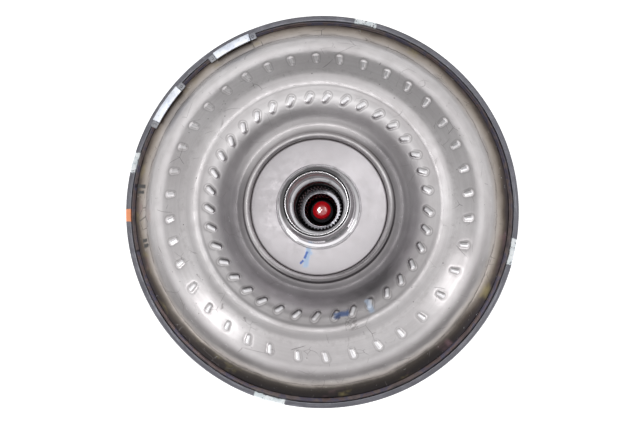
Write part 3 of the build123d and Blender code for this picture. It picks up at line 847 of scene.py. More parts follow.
# residual fluid at the foot of the hub bore
nr, na = 30, 96
vv, ff = [], []
for i in range(nr + 1):
    q = i / nr
    for j in range(na):
        a = j / na * TAU
        rr = 6.0 * (1 + 0.03 * math.sin(2 * a + 0.6) + 0.015 * math.sin(3 * a + 2.1)) * q
        dome_h = 1.9 * math.sqrt(max(0.0, 1 - q ** 3.4))
        wob = 0.07 * math.sin(rr * 1.1 * math.cos(a) + 1.0) * math.cos(rr * 0.9 * math.sin(a)) * (1 - q)
        vv.append((-0.2 + rr * math.cos(a), 1.0 + rr * math.sin(a), 49.15 + dome_h + wob))
ff = grid_faces(nr + 1, na, True, False)
base = len(vv)
for j in range(na):
    a = j / na * TAU
    rr = 5.9 * (1 + 0.03 * math.sin(2 * a + 0.6) + 0.015 * math.sin(3 * a + 2.1))
    vv.append((-0.2 + rr * math.cos(a), 1.0 + rr * math.sin(a), 49.05))
for j in range(na):
    ff.append((nr * na + j, nr * na + (j + 1) % na, base + (j + 1) % na, base + j))
ff.append(tuple(base + j for j in range(na))[::-1])
fluid = outward(make_object("fluid_residue", vv, ff))
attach(fluid, "turbine")

# =====================================================================
# damper springs as real coils
# =====================================================================


def coil_spring(name):
    turns, wire, rm, length = 8.5, 0.9, 3.45, 32.0
    n = 360
    out = []
    for i in range(n):
        q = i / (n - 1)
        a = q * turns * TAU
        # closed end turns
        w = q * turns
        adv = 0.0
        ends = 0.9
        body_len = length - 2 * wire
        if w < ends:
            pos = w * (2 * wire * 1.02)
        elif w > turns - ends:
            pos = body_len - (turns - w) * (2 * wire * 1.02)
        else:
            s0 = ends * 2 * wire * 1.02
            pos = s0 + (w - ends) / (turns - 2 * ends) * (body_len - 2 * s0)
        out.append((62.0 + rm * math.cos(a), -body_len / 2 + pos, 27.0 + rm * math.sin(a)))
    return tube(name, out, wire, 10)


springs = join("damper_coil_springs", [spin_z(coil_spring(f"sp{i}"), 60 * i) for i in range(6)])
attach(springs, "damper")
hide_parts("damper_springs")

# =====================================================================
# materials
# =====================================================================


def shell_material():
    m = Mat("shell_pressed_steel")
    base = lin(196, 193, 192)
    big = m.noise(26.0, 4.0, 0.55)
    mid = m.noise(120.0, 5.0, 0.62)
    fine = m.noise(1400.0, 3.0, 0.65)
    col = m.mix(m.step(big, 0.3, 0.7), lin(186, 182, 183), lin(200, 197, 198))
    col = m.mix(m.mul(m.step(mid, 0.42, 0.75), 0.30), col, lin(172, 168, 168))
    # circular draw marks
    lines = m.turned_lines(2.2, detail=4.0)
    col = m.mix(m.mul(m.step(lines, 0.35, 0.75), 0.18), col, lin(150, 147, 146))
    # smudged ring just outside the crest
    ring_n = m.noise(300.0, 5.0, 0.7)
    ringm = m.mul(m.band(m.r, 0.0862, 0.0905, 0.0016), m.step(ring_n, 0.45, 0.66))
    col = m.mix(m.mul(ringm, 0.22), col, lin(128, 124, 122))
    # painted shade in the valley, heavier on the lower right
    inv_r = m.math("DIVIDE", 1.0, m.mx(m.r, 0.01))
    def toward(deg):
        a = math.radians(deg)
        return m.mul(m.add(m.mul(m.x, math.cos(a)), m.mul(m.y, math.sin(a))), inv_r)
    cloud = m.step(m.noise(50.0, 3.0, 0.5), 0.2, 0.8, 0.82, 1.0)
    valley_painted_shade = m.mul(m.band(m.r, 0.0490, 0.0585, 0.0030), m.step(toward(105), 0.35, 0.95, 1.0, 0.0))
    valley_painted_shade2 = m.mul(m.band(m.r, 0.0560, 0.0660, 0.0030), m.step(toward(262), -0.9, 0.6, 0.35, 1.0))
    col = m.mix(m.mul(m.mul(valley_painted_shade, cloud), 0.80), col, lin(74, 70, 74))
    col = m.mix(m.mul(m.mul(valley_painted_shade2, cloud), 0.66), col, lin(88, 84, 88))
    # painted shade on the lip, towards azimuth 292
    lip_painted_shade = m.mul(m.band(m.r, 0.0464, 0.0495, 0.0008), m.step(toward(292), -0.1, 0.85))
    col = m.mix(m.mul(lip_painted_shade, 0.75), col, lin(80, 76, 79))
    # painted highlight on the inner slope, towards azimuth 95
    slope_painted_highlight = m.mul(m.band(m.r, 0.0670, 0.0740, 0.0030), m.step(toward(95), -0.3, 0.8))
    col = m.mix(m.mul(slope_painted_highlight, 0.6), col, lin(236, 233, 234))
    # painted shade beyond r 64-72 mm, towards azimuth 262
    south_painted_shade = m.mul(m.step(toward(262), -0.1, 1.0), m.step(m.r, 0.064, 0.072))
    col = m.mix(m.mul(south_painted_shade, 0.22), col, lin(112, 109, 110))
    # painted shade on the outer flank, darkest towards azimuth 272
    flank_painted_shade = m.step(m.r, 0.1035, 0.1110)
    flank_painted_shade = m.mul(flank_painted_shade, m.step(toward(272), -0.1, 0.8, 0.50, 1.25))
    col = m.mix(m.mul(m.mul(flank_painted_shade, cloud), 0.78), col, lin(84, 80, 80))
    # heat-affected zone: heat tint by radius with a wandering edge, widened on one side as painted shade
    haz_shade_shift = m.add(m.mul(m.x, 0.28), m.mul(m.y, -0.96))           # + towards azimuth 286
    wob = m.mul(m.sub(m.noise(38.0, 5.0, 0.62), 0.5), 0.0052)
    rr = m.add(m.add(m.r, wob), m.mul(haz_shade_shift, 0.0150))
    haz = m.ramp(m.step(rr, 0.112, 0.1285, smooth=False), [
        (0.0, lin(176, 171, 170)), (0.28, lin(172, 165, 161)), (0.42, lin(158, 150, 143)),
        (0.54, lin(130, 121, 113)), (0.63, lin(92, 83, 76)), (0.74, lin(66, 59, 58)),
        (0.86, lin(60, 56, 60)), (0.94, lin(58, 57, 65)), (1.0, lin(68, 67, 76))])
    # painted shade: near-black in the heat tint towards azimuth 268
    haz = m.mix(m.mul(m.mul(m.step(toward(268), 0.05, 0.85), m.step(rr, 0.1165, 0.1205)), 0.86), haz, lin(34, 31, 31))
    col = m.mix(m.step(rr, 0.1130, 0.1175), col, haz)
    # straw and violet patches in the heat tint
    pt = m.step(m.noise(60.0, 3.0, 0.5), 0.55, 0.72)
    inz = m.band(m.r, 0.119, 0.1245, 0.0015)
    col = m.mix(m.mul(m.mul(pt, inz), 0.35), col, lin(150, 138, 92))
    pt2 = m.step(m.noise(44.0, 3.0, 0.5, vec=m.combine(m.y, m.x, m.z)), 0.58, 0.74)
    col = m.mix(m.mul(m.mul(pt2, inz), 0.40), col, lin(126, 96, 104))
    # dark wandering line at the edge of the turned land
    wob2 = m.mul(m.sub(m.noise(52.0, 6.0, 0.72), 0.5), 0.0046)
    dline = m.band(m.add(m.r, wob2), 0.11640, 0.11700, 0.00030)
    dline = m.mul(dline, m.step(m.noise(160.0, 3.0, 0.6), 0.30, 0.55, 0.25, 1.0))
    col = m.mix(m.mul(dline, 0.65), col, lin(92, 86, 84))
    # scuffs
    sc1 = m.scratches(34.0, 0.009, 1.0, 0.45)
    sc2 = m.scratches(80.0, 0.018, 5.0, 0.42)
    sc3 = m.scratches(190.0, 0.03, 8.0, 0.36)
    outer_zone = m.step(m.r, 0.076, 0.090, 0.35, 1.0)
    col = m.mix(m.mul(m.mul(sc1, outer_zone), 0.75), col, lin(84, 80, 80))
    col = m.mix(m.mul(m.mul(sc2, outer_zone), 0.55), col, lin(92, 88, 88))
    col = m.mix(m.mul(sc3, 0.30), col, lin(226, 226, 228))
    # black specks, mostly round the outer marks
    cellv = m.cells(260.0)
    keep = m.step(m.noise(95.0, 2.0, 0.5), 0.55, 0.60)
    speck = m.mul(m.step(cellv, 0.06, 0.13, 1.0, 0.0), keep)
    speck = m.mul(speck, m.step(m.r, 0.074, 0.082))
    col = m.mix(m.mul(speck, 0.9), col, lin(52, 48, 46))
    # pressed marks: tops lightened as rubbed metal and painted highlight, feet darkened as grime and painted shade
    at = m.t.nodes.new("ShaderNodeAttribute")
    at.attribute_name = "mark"
    mk = at.outputs["Fac"]
    top = m.step(mk, 0.30, 0.85)
    feet_grime_and_shade = m.mul(m.step(mk, 0.06, 0.16), m.step(mk, 0.36, 0.18))
    feet_grime_and_shade = m.mx(feet_grime_and_shade, m.mul(m.step(mk, -0.04, -0.09), 0.6))
    col = m.mix(m.mul(feet_grime_and_shade, m.step(m.r, 0.083, 0.086, 0.50, 0.34)), col, lin(92, 89, 90))
    col = m.mix(m.mul(top, m.step(mid, 0.25, 0.6, 0.20, 0.70)), col, lin(238, 237, 240))
    # blue marker smears on the inner marks
    blue = m.patch(282.0, 4.8, 69.2, 72.6, 0.9, 3.2, 420.0)
    col = m.mix(m.mul(blue, 0.85), col, lin(52, 82, 132))
    blue2 = m.patch(279.5, 2.2, 71.0, 73.4, 0.7, 3.0, 520.0)
    col = m.mix(m.mul(blue2, 0.7), col, lin(24, 44, 86))
    pale = m.patch(297.0, 1.6, 67.5, 76.5, 1.0, 3.2, 380.0)
    col = m.mix(m.mul(pale, 0.5), col, lin(150, 176, 206))
    # dark marks by the wall on the left side
    dk = m.mx(m.patch(172.4, 1.3, 118.5, 126.0, 0.5, 1.4, 700.0),
              m.patch(174.3, 1.0, 119.0, 124.5, 0.4, 1.2, 700.0))
    dk = m.mx(dk, m.mx(m.patch(189.9, 1.1, 117.6, 121.2, 0.4, 1.2, 700.0),
                       m.patch(191.6, 1.3, 117.4, 121.0, 0.4, 1.2, 700.0)))
    col = m.mix(m.mul(dk, 0.9), col, lin(38, 38, 40))
    # faint square etch of random cells, with no meaning
    a = math.radians(285.6)
    cx, cy = 78.3 * MM * math.cos(a), 78.3 * MM * math.sin(a)
    rot = math.radians(8)
    dx, dy = m.sub(m.x, cx), m.sub(m.y, cy)
    ex = m.add(m.mul(dx, math.cos(rot)), m.mul(dy, math.sin(rot)))
    ey = m.add(m.mul(dx, -math.sin(rot)), m.mul(dy, math.cos(rot)))
    sq = m.mul(m.step(m.math("ABSOLUTE", ex), 0.0038, 0.0040, 1.0, 0.0),
               m.step(m.math("ABSOLUTE", ey), 0.0038, 0.0040, 1.0, 0.0))
    cell = m.cells(1300.0, "F1", vec=m.combine(ex, ey, 0.0), out="Color", rand=0.0)
    cellf = m.step(m.math("FRACT", m.mul(cell, 7.3)), 0.49, 0.51)
    col = m.mix(m.mul(m.mul(sq, cellf), 0.45), col, lin(104, 100, 98))
    # roughness
    paint = m.mx(m.mx(blue, pale), dk)
    rg = m.step(mid, 0.3, 0.75, 0.30, 0.38)
    rg = m.add(rg, m.mul(m.sub(fine, 0.5), 0.10))
    rg = m.add(rg, m.mul(m.step(m.r, 0.113, 0.117), 0.08))
    rg = m.mx(rg, m.mul(paint, 0.55))
    nrm = m.bump(fine, 0.00003, 0.35)
    nrm = m.bump(mid, 0.00012, 0.22, prev=nrm)
    nrm = m.bump(lines, 0.00002, 0.5, prev=nrm)
    nrm = m.bump(m.add(sc1, sc2), 0.00005, 0.4, prev=nrm)
    met = m.step(m.mx(m.mul(paint, 1.0), speck), 0.2, 0.9, 1.0, 0.1)
    return m.finish(col, rg, met, nrm)


def cover_material():
    m = Mat("cover_mill_steel")
    big = m.noise(30.0, 4.0, 0.55)
    mid = m.noise(160.0, 5.0, 0.62)
    fine = m.noise(1600.0, 3.0, 0.65)
    lines = m.turned_lines(3.2, detail=4.0)
    col = m.mix(m.step(big, 0.3, 0.7), lin(108, 107, 112), lin(144, 143, 148))
    col = m.mix(m.mul(m.step(mid, 0.4, 0.7), 0.5), col, lin(92, 88, 90))
    col = m.mix(m.mul(m.step(lines, 0.4, 0.7), 0.45), col, lin(76, 75, 81))
    wide = m.turned_lines(1.15, detail=3.0)
    wall = m.step(m.r, 0.1200, 0.1265, 0.16, 1.0)      # strong streaks on the side wall only
    col = m.mix(m.mul(m.mul(m.step(wide, 0.42, 0.62), 0.75), wall), col, lin(62, 61, 68))
    col = m.mix(m.mul(m.mul(m.step(wide, 0.36, 0.26), m.step(big, 0.35, 0.6, 0.1, 0.8)), wall), col, lin(176, 176, 182))
    blot = m.noise(52.0, 5.0, 0.66)
    col = m.mix(m.mul(m.mul(m.step(blot, 0.46, 0.60), 0.62), wall), col, lin(46, 46, 52))
    glint = m.mul(m.step(m.noise(36.0, 4.0, 0.6, vec=m.combine(m.y, m.x, m.z)), 0.52, 0.60),
                  m.step(m.turned_lines(0.7, detail=4.0), 0.52, 0.60))
    col = m.mix(m.mul(m.mul(glint, 0.7), wall), col, lin(196, 197, 206))
    # brighter turned corner against the weld
    brt = m.mul(m.band(m.r, 0.12880, 0.12935, 0.00022), m.step(m.z, 0.0605, 0.0612))
    col = m.mix(m.mul(brt, m.step(mid, 0.3, 0.6, 0.25, 0.8)), col, lin(186, 188, 194))
    # heat bands from the closure weld on the wall, and round the lugs
    wz = m.add(m.z, m.mul(m.sub(m.noise(40.0, 3.0, 0.5), 0.5), 0.004))
    haz = m.ramp(m.step(wz, 0.042, 0.0625, smooth=False), [
        (0.0, lin(118, 117, 120)), (0.28, lin(132, 122, 110)), (0.42, lin(108, 90, 80)),
        (0.56, lin(82, 76, 88)), (0.72, lin(86, 86, 96)), (1.0, lin(112, 112, 118))])
    col = m.mix(m.mul(m.step(wz, 0.042, 0.048), 0.75), col, haz)
    for i in range(4):
        a = math.radians(76 + 90 * i)
        dx = m.sub(m.x, 0.111 * math.cos(a))
        dy = m.sub(m.y, 0.111 * math.sin(a))
        d = m.math("SQRT", m.add(m.mul(dx, dx), m.mul(dy, dy)))
        d = m.add(d, m.mul(m.sub(mid, 0.5), 0.006))
        halo = m.mul(m.band(d, 0.022, 0.031, 0.003), m.step(m.z, 0.03, 0.02))
        col = m.mix(m.mul(halo, 0.4), col, lin(104, 84, 72))
    sc = m.scratches(60.0, 0.014, 2.0, 0.36)
    sc2 = m.scratches(170.0, 0.03, 7.0, 0.38)
    col = m.mix(m.mul(sc, 0.5), col, lin(170, 170, 176))
    col = m.mix(m.mul(sc2, 0.35), col, lin(56, 54, 58))
    # pale paint at the four lug directions, orange inspection dab
    top = m.step(m.z, 0.0470, 0.0500)
    pale = None
    for deg, half in ((76.6, 7.4), (165.4, 7.0), (254.6, 10.4), (347.6, 8.8)):
        p = m.patch(deg, half, 128.9, 140.0, 0.5, 3.4, 330.0)
        pale = p if pale is None else m.mx(pale, p)
    pale = m.mul(pale, top)
    chip = m.step(m.noise(700.0, 4.0, 0.7), 0.36, 0.44)
    pale = m.mul(pale, chip)
    pcol = m.mix(m.step(m.noise(200.0, 3.0, 0.6), 0.35, 0.65), lin(206, 216, 220), lin(236, 240, 242))
    col = m.mix(pale, col, pcol)
    org = m.mul(m.patch(181.3, 4.2, 128.9, 140.0, 0.35, 1.0, 600.0), top)
    col = m.mix(org, col, lin(243, 158, 112))
    paint = m.mx(pale, org)
    rg = m.step(mid, 0.3, 0.75, 0.30, 0.48)
    rg = m.add(rg, m.mul(m.sub(fine, 0.5), 0.12))
    rg = m.mx(rg, m.mul(paint, 0.6))
    nrm = m.bump(fine, 0.00003, 0.3)
    nrm = m.bump(lines, 0.00004, 0.6, prev=nrm)
    nrm = m.bump(m.add(sc, sc2), 0.00005, 0.4, prev=nrm)
    nrm = m.bump(paint, 0.00010, 0.6, prev=nrm)
    met = m.step(paint, 0.2, 0.8, 1.0, 0.0)
    return m.finish(col, rg, met, nrm)


def weld_material(name, dark=True):
    m = Mat(name)
    big = m.noise(55.0, 4.0, 0.6)
    fine = m.noise(1300.0, 3.0, 0.6)
    if dark:
        col = m.ramp(m.step(big, 0.25, 0.75), [
            (0.0, lin(66, 58, 60)), (0.3, lin(88, 76, 74)), (0.5, lin(72, 70, 84)),
            (0.7, lin(96, 86, 84)), (1.0, lin(70, 66, 70))])
    else:
        col = m.ramp(m.step(big, 0.25, 0.75), [
            (0.0, lin(110, 106, 104)), (0.5, lin(150, 146, 142)), (1.0, lin(120, 112, 108))])
    spat = m.mul(m.step(m.cells(420.0), 0.06, 0.2, 1.0, 0.0), m.step(m.noise(120.0, 2.0, 0.5), 0.55, 0.6))
    col = m.mix(m.mul(spat, 0.6), col, lin(34, 30, 30))
    dk = m.mx(m.patch(172.4, 1.3, 118.5, 127.0, 0.5, 1.4, 700.0),
              m.patch(192.4, 0.7, 124.0, 129.0, 0.3, 0.8, 700.0))
    col = m.mix(m.mul(dk, 0.8), col, lin(30, 30, 32))
    rg = m.add(m.step(big, 0.3, 0.7, 0.30, 0.48), m.mul(m.sub(fine, 0.5), 0.14))
    nrm = m.bump(fine, 0.00005, 0.5)
    nrm = m.bump(spat, 0.0001, 0.4, prev=nrm)
    return m.finish(col, rg, 1.0, nrm)


def hub_material():
    m = Mat("hub_ground_steel")
    big = m.noise(34.0, 4.0, 0.5)
    mid = m.noise(210.0, 5.0, 0.62)
    fine = m.noise(1900.0, 3.0, 0.65)
    lines = m.turned_lines(6.0, detail=4.0)
    col = m.mix(m.step(big, 0.3, 0.7), lin(176, 172, 175), lin(190, 186, 189))
    col = m.mix(m.mul(m.step(mid, 0.5, 0.8), 0.35), col, lin(186, 183, 182))
    col = m.mix(m.mul(m.step(lines, 0.4, 0.8), 0.10), col, lin(170, 168, 168))
    # painted shade on the neck bore wall, banded by height with painted reflection rings (bright) and painted shade
    # rings (dark)
    bore = m.mul(m.step(m.r, 0.0190, 0.0194, 1.0, 0.0), m.step(m.z, 0.0900, 0.1296, 1.0, 1.0))
    bore = m.mul(m.step(m.r, 0.0192, 0.0195, 1.0, 0.0), m.step(m.z, 0.1285, 0.1300, 1.0, 0.0))
    dk = m.mix(m.step(mid, 0.35, 0.7), lin(70, 68, 68), lin(128, 126, 126))
    col = m.mix(m.mul(bore, 0.8), col, dk)
    for z0, z1, k, c in ((0.1245, 0.1262, 0.85, (206, 205, 208)), (0.1165, 0.1232, 0.80, (52, 51, 50)), (0.1125, 0.1150, 0.85, (186, 185, 188)), (0.1055, 0.1112, 0.80, (40, 39, 39)),
                         (0.1000, 0.1050, 0.85, (206, 205, 208)), (0.0890, 0.0985, 0.80, (34, 33, 34))):
        bore_painted_rings = m.mul(m.mul(bore, m.band(m.z, z0, z1, 0.0004)), m.step(mid, 0.30, 0.45, 0.55, 1.0))
        col = m.mix(m.mul(bore_painted_rings, k), col, lin(*c))
    # polished seal track and tip on the neck
    neckm = m.mul(m.step(m.r, 0.0272, 0.0266), m.step(m.r, 0.0192, 0.0195))
    track = m.mul(neckm, m.band(m.z, 0.1110, 0.1180, 0.0006))
    col = m.mix(m.mul(track, 0.35), col, lin(150, 148, 148))
    # marker dashes and their pale smear on the disc
    def dash(px, py, ang, hl, hw, soft, jit, scale):
        a = math.radians(ang)
        dx, dy = m.sub(m.x, px * MM), m.sub(m.y, py * MM)
        nz = m.mul(m.sub(m.noise(scale, 3.0, 0.6), 0.5), jit * MM)
        u = m.math("ABSOLUTE", m.add(m.mul(dx, math.cos(a)), m.mul(dy, math.sin(a))))
        v = m.math("ABSOLUTE", m.add(m.mul(dx, -math.sin(a)), m.mul(dy, math.cos(a))))
        u, v = m.add(u, nz), m.add(v, nz)
        return m.mul(m.step(u, (hl - soft) * MM, (hl + soft) * MM, 1.0, 0.0),
                     m.step(v, (hw - soft) * MM, (hw + soft) * MM, 1.0, 0.0))
    smear = m.mx(dash(-7.6, -33.0, 78, 6.4, 1.7, 0.9, 2.0, 500.0),
                 dash(-6.2, -30.5, 20, 2.2, 1.0, 0.8, 1.6, 600.0))
    disc = m.step(m.r, 0.0270, 0.0276)
    smear = m.mul(smear, disc)
    col = m.mix(m.mul(smear, 0.55), col, lin(150, 186, 222))
    d1 = m.mul(dash(-8.3, -31.2, 66, 2.5, 0.75, 0.35, 1.0, 900.0), disc)
    d2 = m.mul(dash(-11.0, -35.8, 48, 1.5, 0.70, 0.35, 1.0, 900.0), disc)
    ink = m.mx(d1, d2)
    col = m.mix(m.mul(ink, 0.9), col, lin(62, 98, 176))
    sc = m.scratches(120.0, 0.02, 6.0, 0.34)
    col = m.mix(m.mul(sc, 0.25), col, lin(150, 148, 148))
    speck = m.mul(m.step(m.cells(330.0), 0.03, 0.07, 1.0, 0.0), m.step(m.noise(80.0, 2.0, 0.5), 0.62, 0.65))
    col = m.mix(m.mul(speck, 0.7), col, lin(80, 78, 76))
    nk = m.mul(m.step(m.r, 0.0274, 0.0268), m.step(m.r, 0.0186, 0.0188))
    col = m.mix(m.mul(nk, 0.9), col, lin(226, 224, 227))
    # painted shade in the grooves at the mouth and inside the bore
    groove_painted_shade = m.mul(m.band(m.r, 0.01998, 0.02092, 0.00006), m.step(m.z, 0.1270, 0.1276))
    groove_painted_shade = m.mul(groove_painted_shade, m.step(m.z, 0.13095, 0.1307))
    groove_painted_shade = m.mx(groove_painted_shade, m.mul(m.band(m.r, 0.01895, 0.01940, 0.00008), m.band(m.z, 0.1221, 0.1242, 0.0003)))
    groove_painted_shade = m.mx(groove_painted_shade, m.mul(m.band(m.r, 0.01880, 0.01930, 0.00008), m.band(m.z, 0.1266, 0.1274, 0.0003)))
    col = m.mix(m.mul(groove_painted_shade, 0.92), col, lin(26, 25, 26))
    # edge break round the mouth darkened as painted shade, darkest towards azimuth 128 and lighter on the opposite side
    ci = m.math("DIVIDE", 1.0, m.mx(m.r, 0.01))
    cd = m.mul(m.add(m.mul(m.x, math.cos(math.radians(128))), m.mul(m.y, math.sin(math.radians(128)))), ci)
    mouth_painted_shade = m.mul(m.mul(m.band(m.r, 0.02085, 0.02310, 0.00010), m.step(m.z, 0.1258, 0.1266)), m.step(cd, -0.35, 0.35, 0.12, 1.0))
    groove_painted_shade = m.mx(groove_painted_shade, m.mul(mouth_painted_shade, 0.95))
    col = m.mix(m.mul(mouth_painted_shade, 0.90), col, lin(30, 29, 31))
    # painted shade: dark line in the corner where the flare meets the disc, broken round the ring
    foot = m.mul(m.band(m.r, 0.0262, 0.0271, 0.0002), m.step(mid, 0.35, 0.6, 0.25, 1.0))
    col = m.mix(m.mul(foot, 0.5), col, lin(84, 82, 84))
    # unpolished flats
    fa = math.radians(FLAT_A)
    td = m.math("ABSOLUTE", m.add(m.mul(m.x, math.cos(fa)), m.mul(m.y, math.sin(fa))))
    flat = m.mul(m.band(td, 0.02214, 0.02226, 0.00002), m.band(m.z, 0.1044, 0.1276, 0.0001))
    foot_l = m.mul(m.mul(m.step(td, 0.02210, 0.02220), m.band(m.z, 0.1030, 0.1050, 0.0002)), m.step(m.r, 0.02420, 0.02390))
    flat = m.mx(flat, m.mul(foot_l, 0.9))
    fl_c = m.mix(m.step(m.noise(260.0, 4.0, 0.7), 0.4, 0.6), lin(40, 40, 42), lin(112, 110, 112))
    col = m.mix(m.mul(flat, 0.9), col, fl_c)
    # painted shade: disc a little darker towards azimuth 135
    ti = m.math("DIVIDE", 1.0, m.mx(m.r, 0.01))
    disc_shade_dir = m.mul(m.add(m.mul(m.x, math.cos(math.radians(135))), m.mul(m.y, math.sin(math.radians(135)))), ti)
    col = m.mix(m.mul(m.mul(m.step(disc_shade_dir, -0.2, 0.9), disc), 0.30), col, lin(136, 132, 134))
    # satin disc, polished neck
    rg = m.step(mid, 0.3, 0.75, 0.30, 0.40)
    rg = m.mix(neckm, rg, m.step(mid, 0.3, 0.8, 0.06, 0.13))
    rg = m.add(rg, m.mul(m.sub(fine, 0.5), 0.06))
    rg = m.mx(rg, m.mul(m.mx(ink, smear), 0.45))
    nrm = m.bump(lines, 0.000012, 0.5)
    nrm = m.bump(fine, 0.00002, 0.2, prev=nrm)
    nrm = m.bump(sc, 0.00004, 0.3, prev=nrm)
    rg = m.mx(rg, m.mul(m.mx(flat, groove_painted_shade), 0.62))
    met = m.step(m.mx(m.mx(ink, groove_painted_shade), m.mul(flat, 0.85)), 0.3, 0.9, 1.0, 0.05)
    return m.finish(col, rg, met, nrm)


def weight_material():
    m = Mat("weight_bright_steel")
    big = m.noise(90.0, 4.0, 0.6)
    fine = m.noise(900.0, 4.0, 0.65)
    col = m.mix(m.step(big, 0.3, 0.7), lin(196, 202, 216), lin(238, 241, 247))
    sc = m.scratches(240.0, 0.05, 4.0, 0.45)
    col = m.mix(m.mul(sc, 0.5), col, lin(120, 122, 130))
    # painted shade: the bar's sides below the top face are darkened
    side = m.step(m.z, 0.0676, 0.0668)
    col = m.mix(m.mul(side, 0.75), col, lin(98, 96, 98))
    rg = m.add(m.step(big, 0.3, 0.7, 0.28, 0.42), m.mul(m.sub(fine, 0.5), 0.15))
    nrm = m.bump(fine, 0.00008, 0.4)
    nrm = m.bump(sc, 0.00005, 0.4, prev=nrm)
    return m.finish(col, rg, 1.0, nrm)


def fluid_material():
    m = Mat("red_fluid")
    v = m.noise(240.0, 3.0, 0.5)
    col = m.mix(m.step(v, 0.35, 0.65), lin(226, 16, 30), lin(252, 48, 50))
    rg = m.step(v, 0.3, 0.7, 0.04, 0.10)
    nrm = m.bump(m.noise(260.0, 2.0, 0.5), 0.0002, 0.25)
    # painted glow: a weak red emission stands in for light that barely reaches the fluid deep in the bore
    return m.finish(col, rg, 0.0, nrm, Coat_Weight=1.0, Coat_Roughness=0.05, Coat_IOR=2.1,
                    Specular_IOR_Level=0.7, Emission_Color=(0.62, 0.006, 0.014, 1.0),
                    Emission_Strength=0.42)


def paper_material():
    m = Mat("friction_paper")
    f = m.noise(2600.0, 4.0, 0.75)
    g = m.noise(300.0, 4.0, 0.6)
    col = m.mix(m.step(f, 0.35, 0.65), lin(96, 66, 40), lin(140, 100, 62))
    col = m.mix(m.mul(m.step(g, 0.5, 0.7), 0.5), col, lin(70, 48, 32))
    nrm = m.bump(f, 0.00012, 0.8)
    return m.finish(col, m.step(g, 0.3, 0.7, 0.7, 0.9), 0.0, nrm)


def seal_material():
    m = Mat("seal_polymer")
    f = m.noise(1500.0, 3.0, 0.6)
    g = m.noise(200.0, 4.0, 0.6)
    col = m.mix(m.step(g, 0.3, 0.7), lin(46, 40, 34), lin(70, 60, 50))
    nrm = m.bump(f, 0.00005, 0.5)
    return m.finish(col, m.step(g, 0.3, 0.7, 0.42, 0.6), 0.0, nrm)


M_SHELL = shell_material()
M_COVER = cover_material()
M_WELD = weld_material("closure_weld_metal")
M_WELD2 = weld_material("small_weld_metal", False)
M_HUB = hub_material()
M_WEIGHT = weight_material()
M_FLUID = fluid_material()
M_WIRE = metal("ring_wire", (226, 226, 232), 0.30, grime=0.12, wear=0.3)
M_PRESS = metal("pressed_inner_steel", (172, 170, 168), 0.36, turned=0.5, grime=0.22, tint=(150, 138, 120))
M_BLADE = metal("blade_sheet_steel", (160, 158, 156), 0.34, grime=0.25, wear=0.3)
M_TURN = metal("turned_steel", (186, 184, 184), 0.26, turned=1.0, grime=0.2)
M_HARD = metal("hardened_steel", (150, 150, 154), 0.18, turned=0.6, grime=0.25, wear=0.35)
M_DARKHARD = metal("oiled_spline_steel", (88, 86, 88), 0.24, turned=0.4, grime=0.4, wear=0.35)
M_SPRING = metal("spring_steel_dark", (82, 86, 100), 0.28, grime=0.3, tint=(70, 62, 90))
M_CAST = metal("stator_cast_aluminium", (188, 190, 194), 0.42, cast=1.0, grime=0.22)
M_CAP = metal("cap_aluminium", (178, 180, 184), 0.34, turned=0.9, cast=0.3, grime=0.2)
M_PAPER = paper_material()
M_SEAL = seal_material()


def hub_inside_material():
    """Turbine hub: bright turned end face with a painted highlight on its right side, oily dark spline and bore,
    painted shade near-black deep in the bore.
    """
    m = Mat("turbine_hub_steel")
    big = m.noise(120.0, 4.0, 0.6)
    fine = m.noise(1500.0, 3.0, 0.6)
    lines = m.turned_lines(5.0)
    dark = m.mix(m.step(big, 0.3, 0.7), lin(46, 45, 48), lin(82, 80, 84))
    brt = m.mix(m.step(big, 0.35, 0.65), lin(176, 175, 182), lin(220, 219, 226))
    brt = m.mix(m.mul(m.step(lines, 0.4, 0.7), 0.3), brt, lin(120, 118, 122))
    end = m.mul(m.step(m.z, 0.0668, 0.0671), m.step(m.r, 0.0112, 0.0116))
    # painted highlight: the end face is brighter on the +X side
    side = m.step(m.add(m.x, m.mul(m.y, 0.15)), 0.0035, 0.0075, 0.22, 1.0)
    side = m.mul(side, m.step(m.noise(900.0, 3.0, 0.6), 0.28, 0.42, 0.45, 1.0))
    end = m.mul(end, side)
    end = m.mul(end, m.step(m.r, 0.0126, 0.0134, 1.0, 0.30))
    out = m.step(m.r, 0.0150, 0.0160)
    col = m.mix(m.mx(end, m.mul(out, 0.8)), dark, brt)
    # painted shade: near-black deep in the bore, below about z 56-60 mm
    col = m.mix(m.mul(m.step(m.z, 0.0600, 0.0560), 0.92), col, lin(16, 16, 18))
    nrm = m.bump(fine, 0.00004, 0.3)
    nrm = m.bump(lines, 0.00003, 0.5, prev=nrm)
    rg = m.add(m.step(big, 0.3, 0.7, 0.24, 0.36), m.mul(m.sub(fine, 0.5), 0.12))
    return m.finish(col, rg, 1.0, nrm)


M_TURBINE_HUB = hub_inside_material()


def dress(ob, mat):
    ob.data.materials.clear()
    ob.data.materials.append(mat)


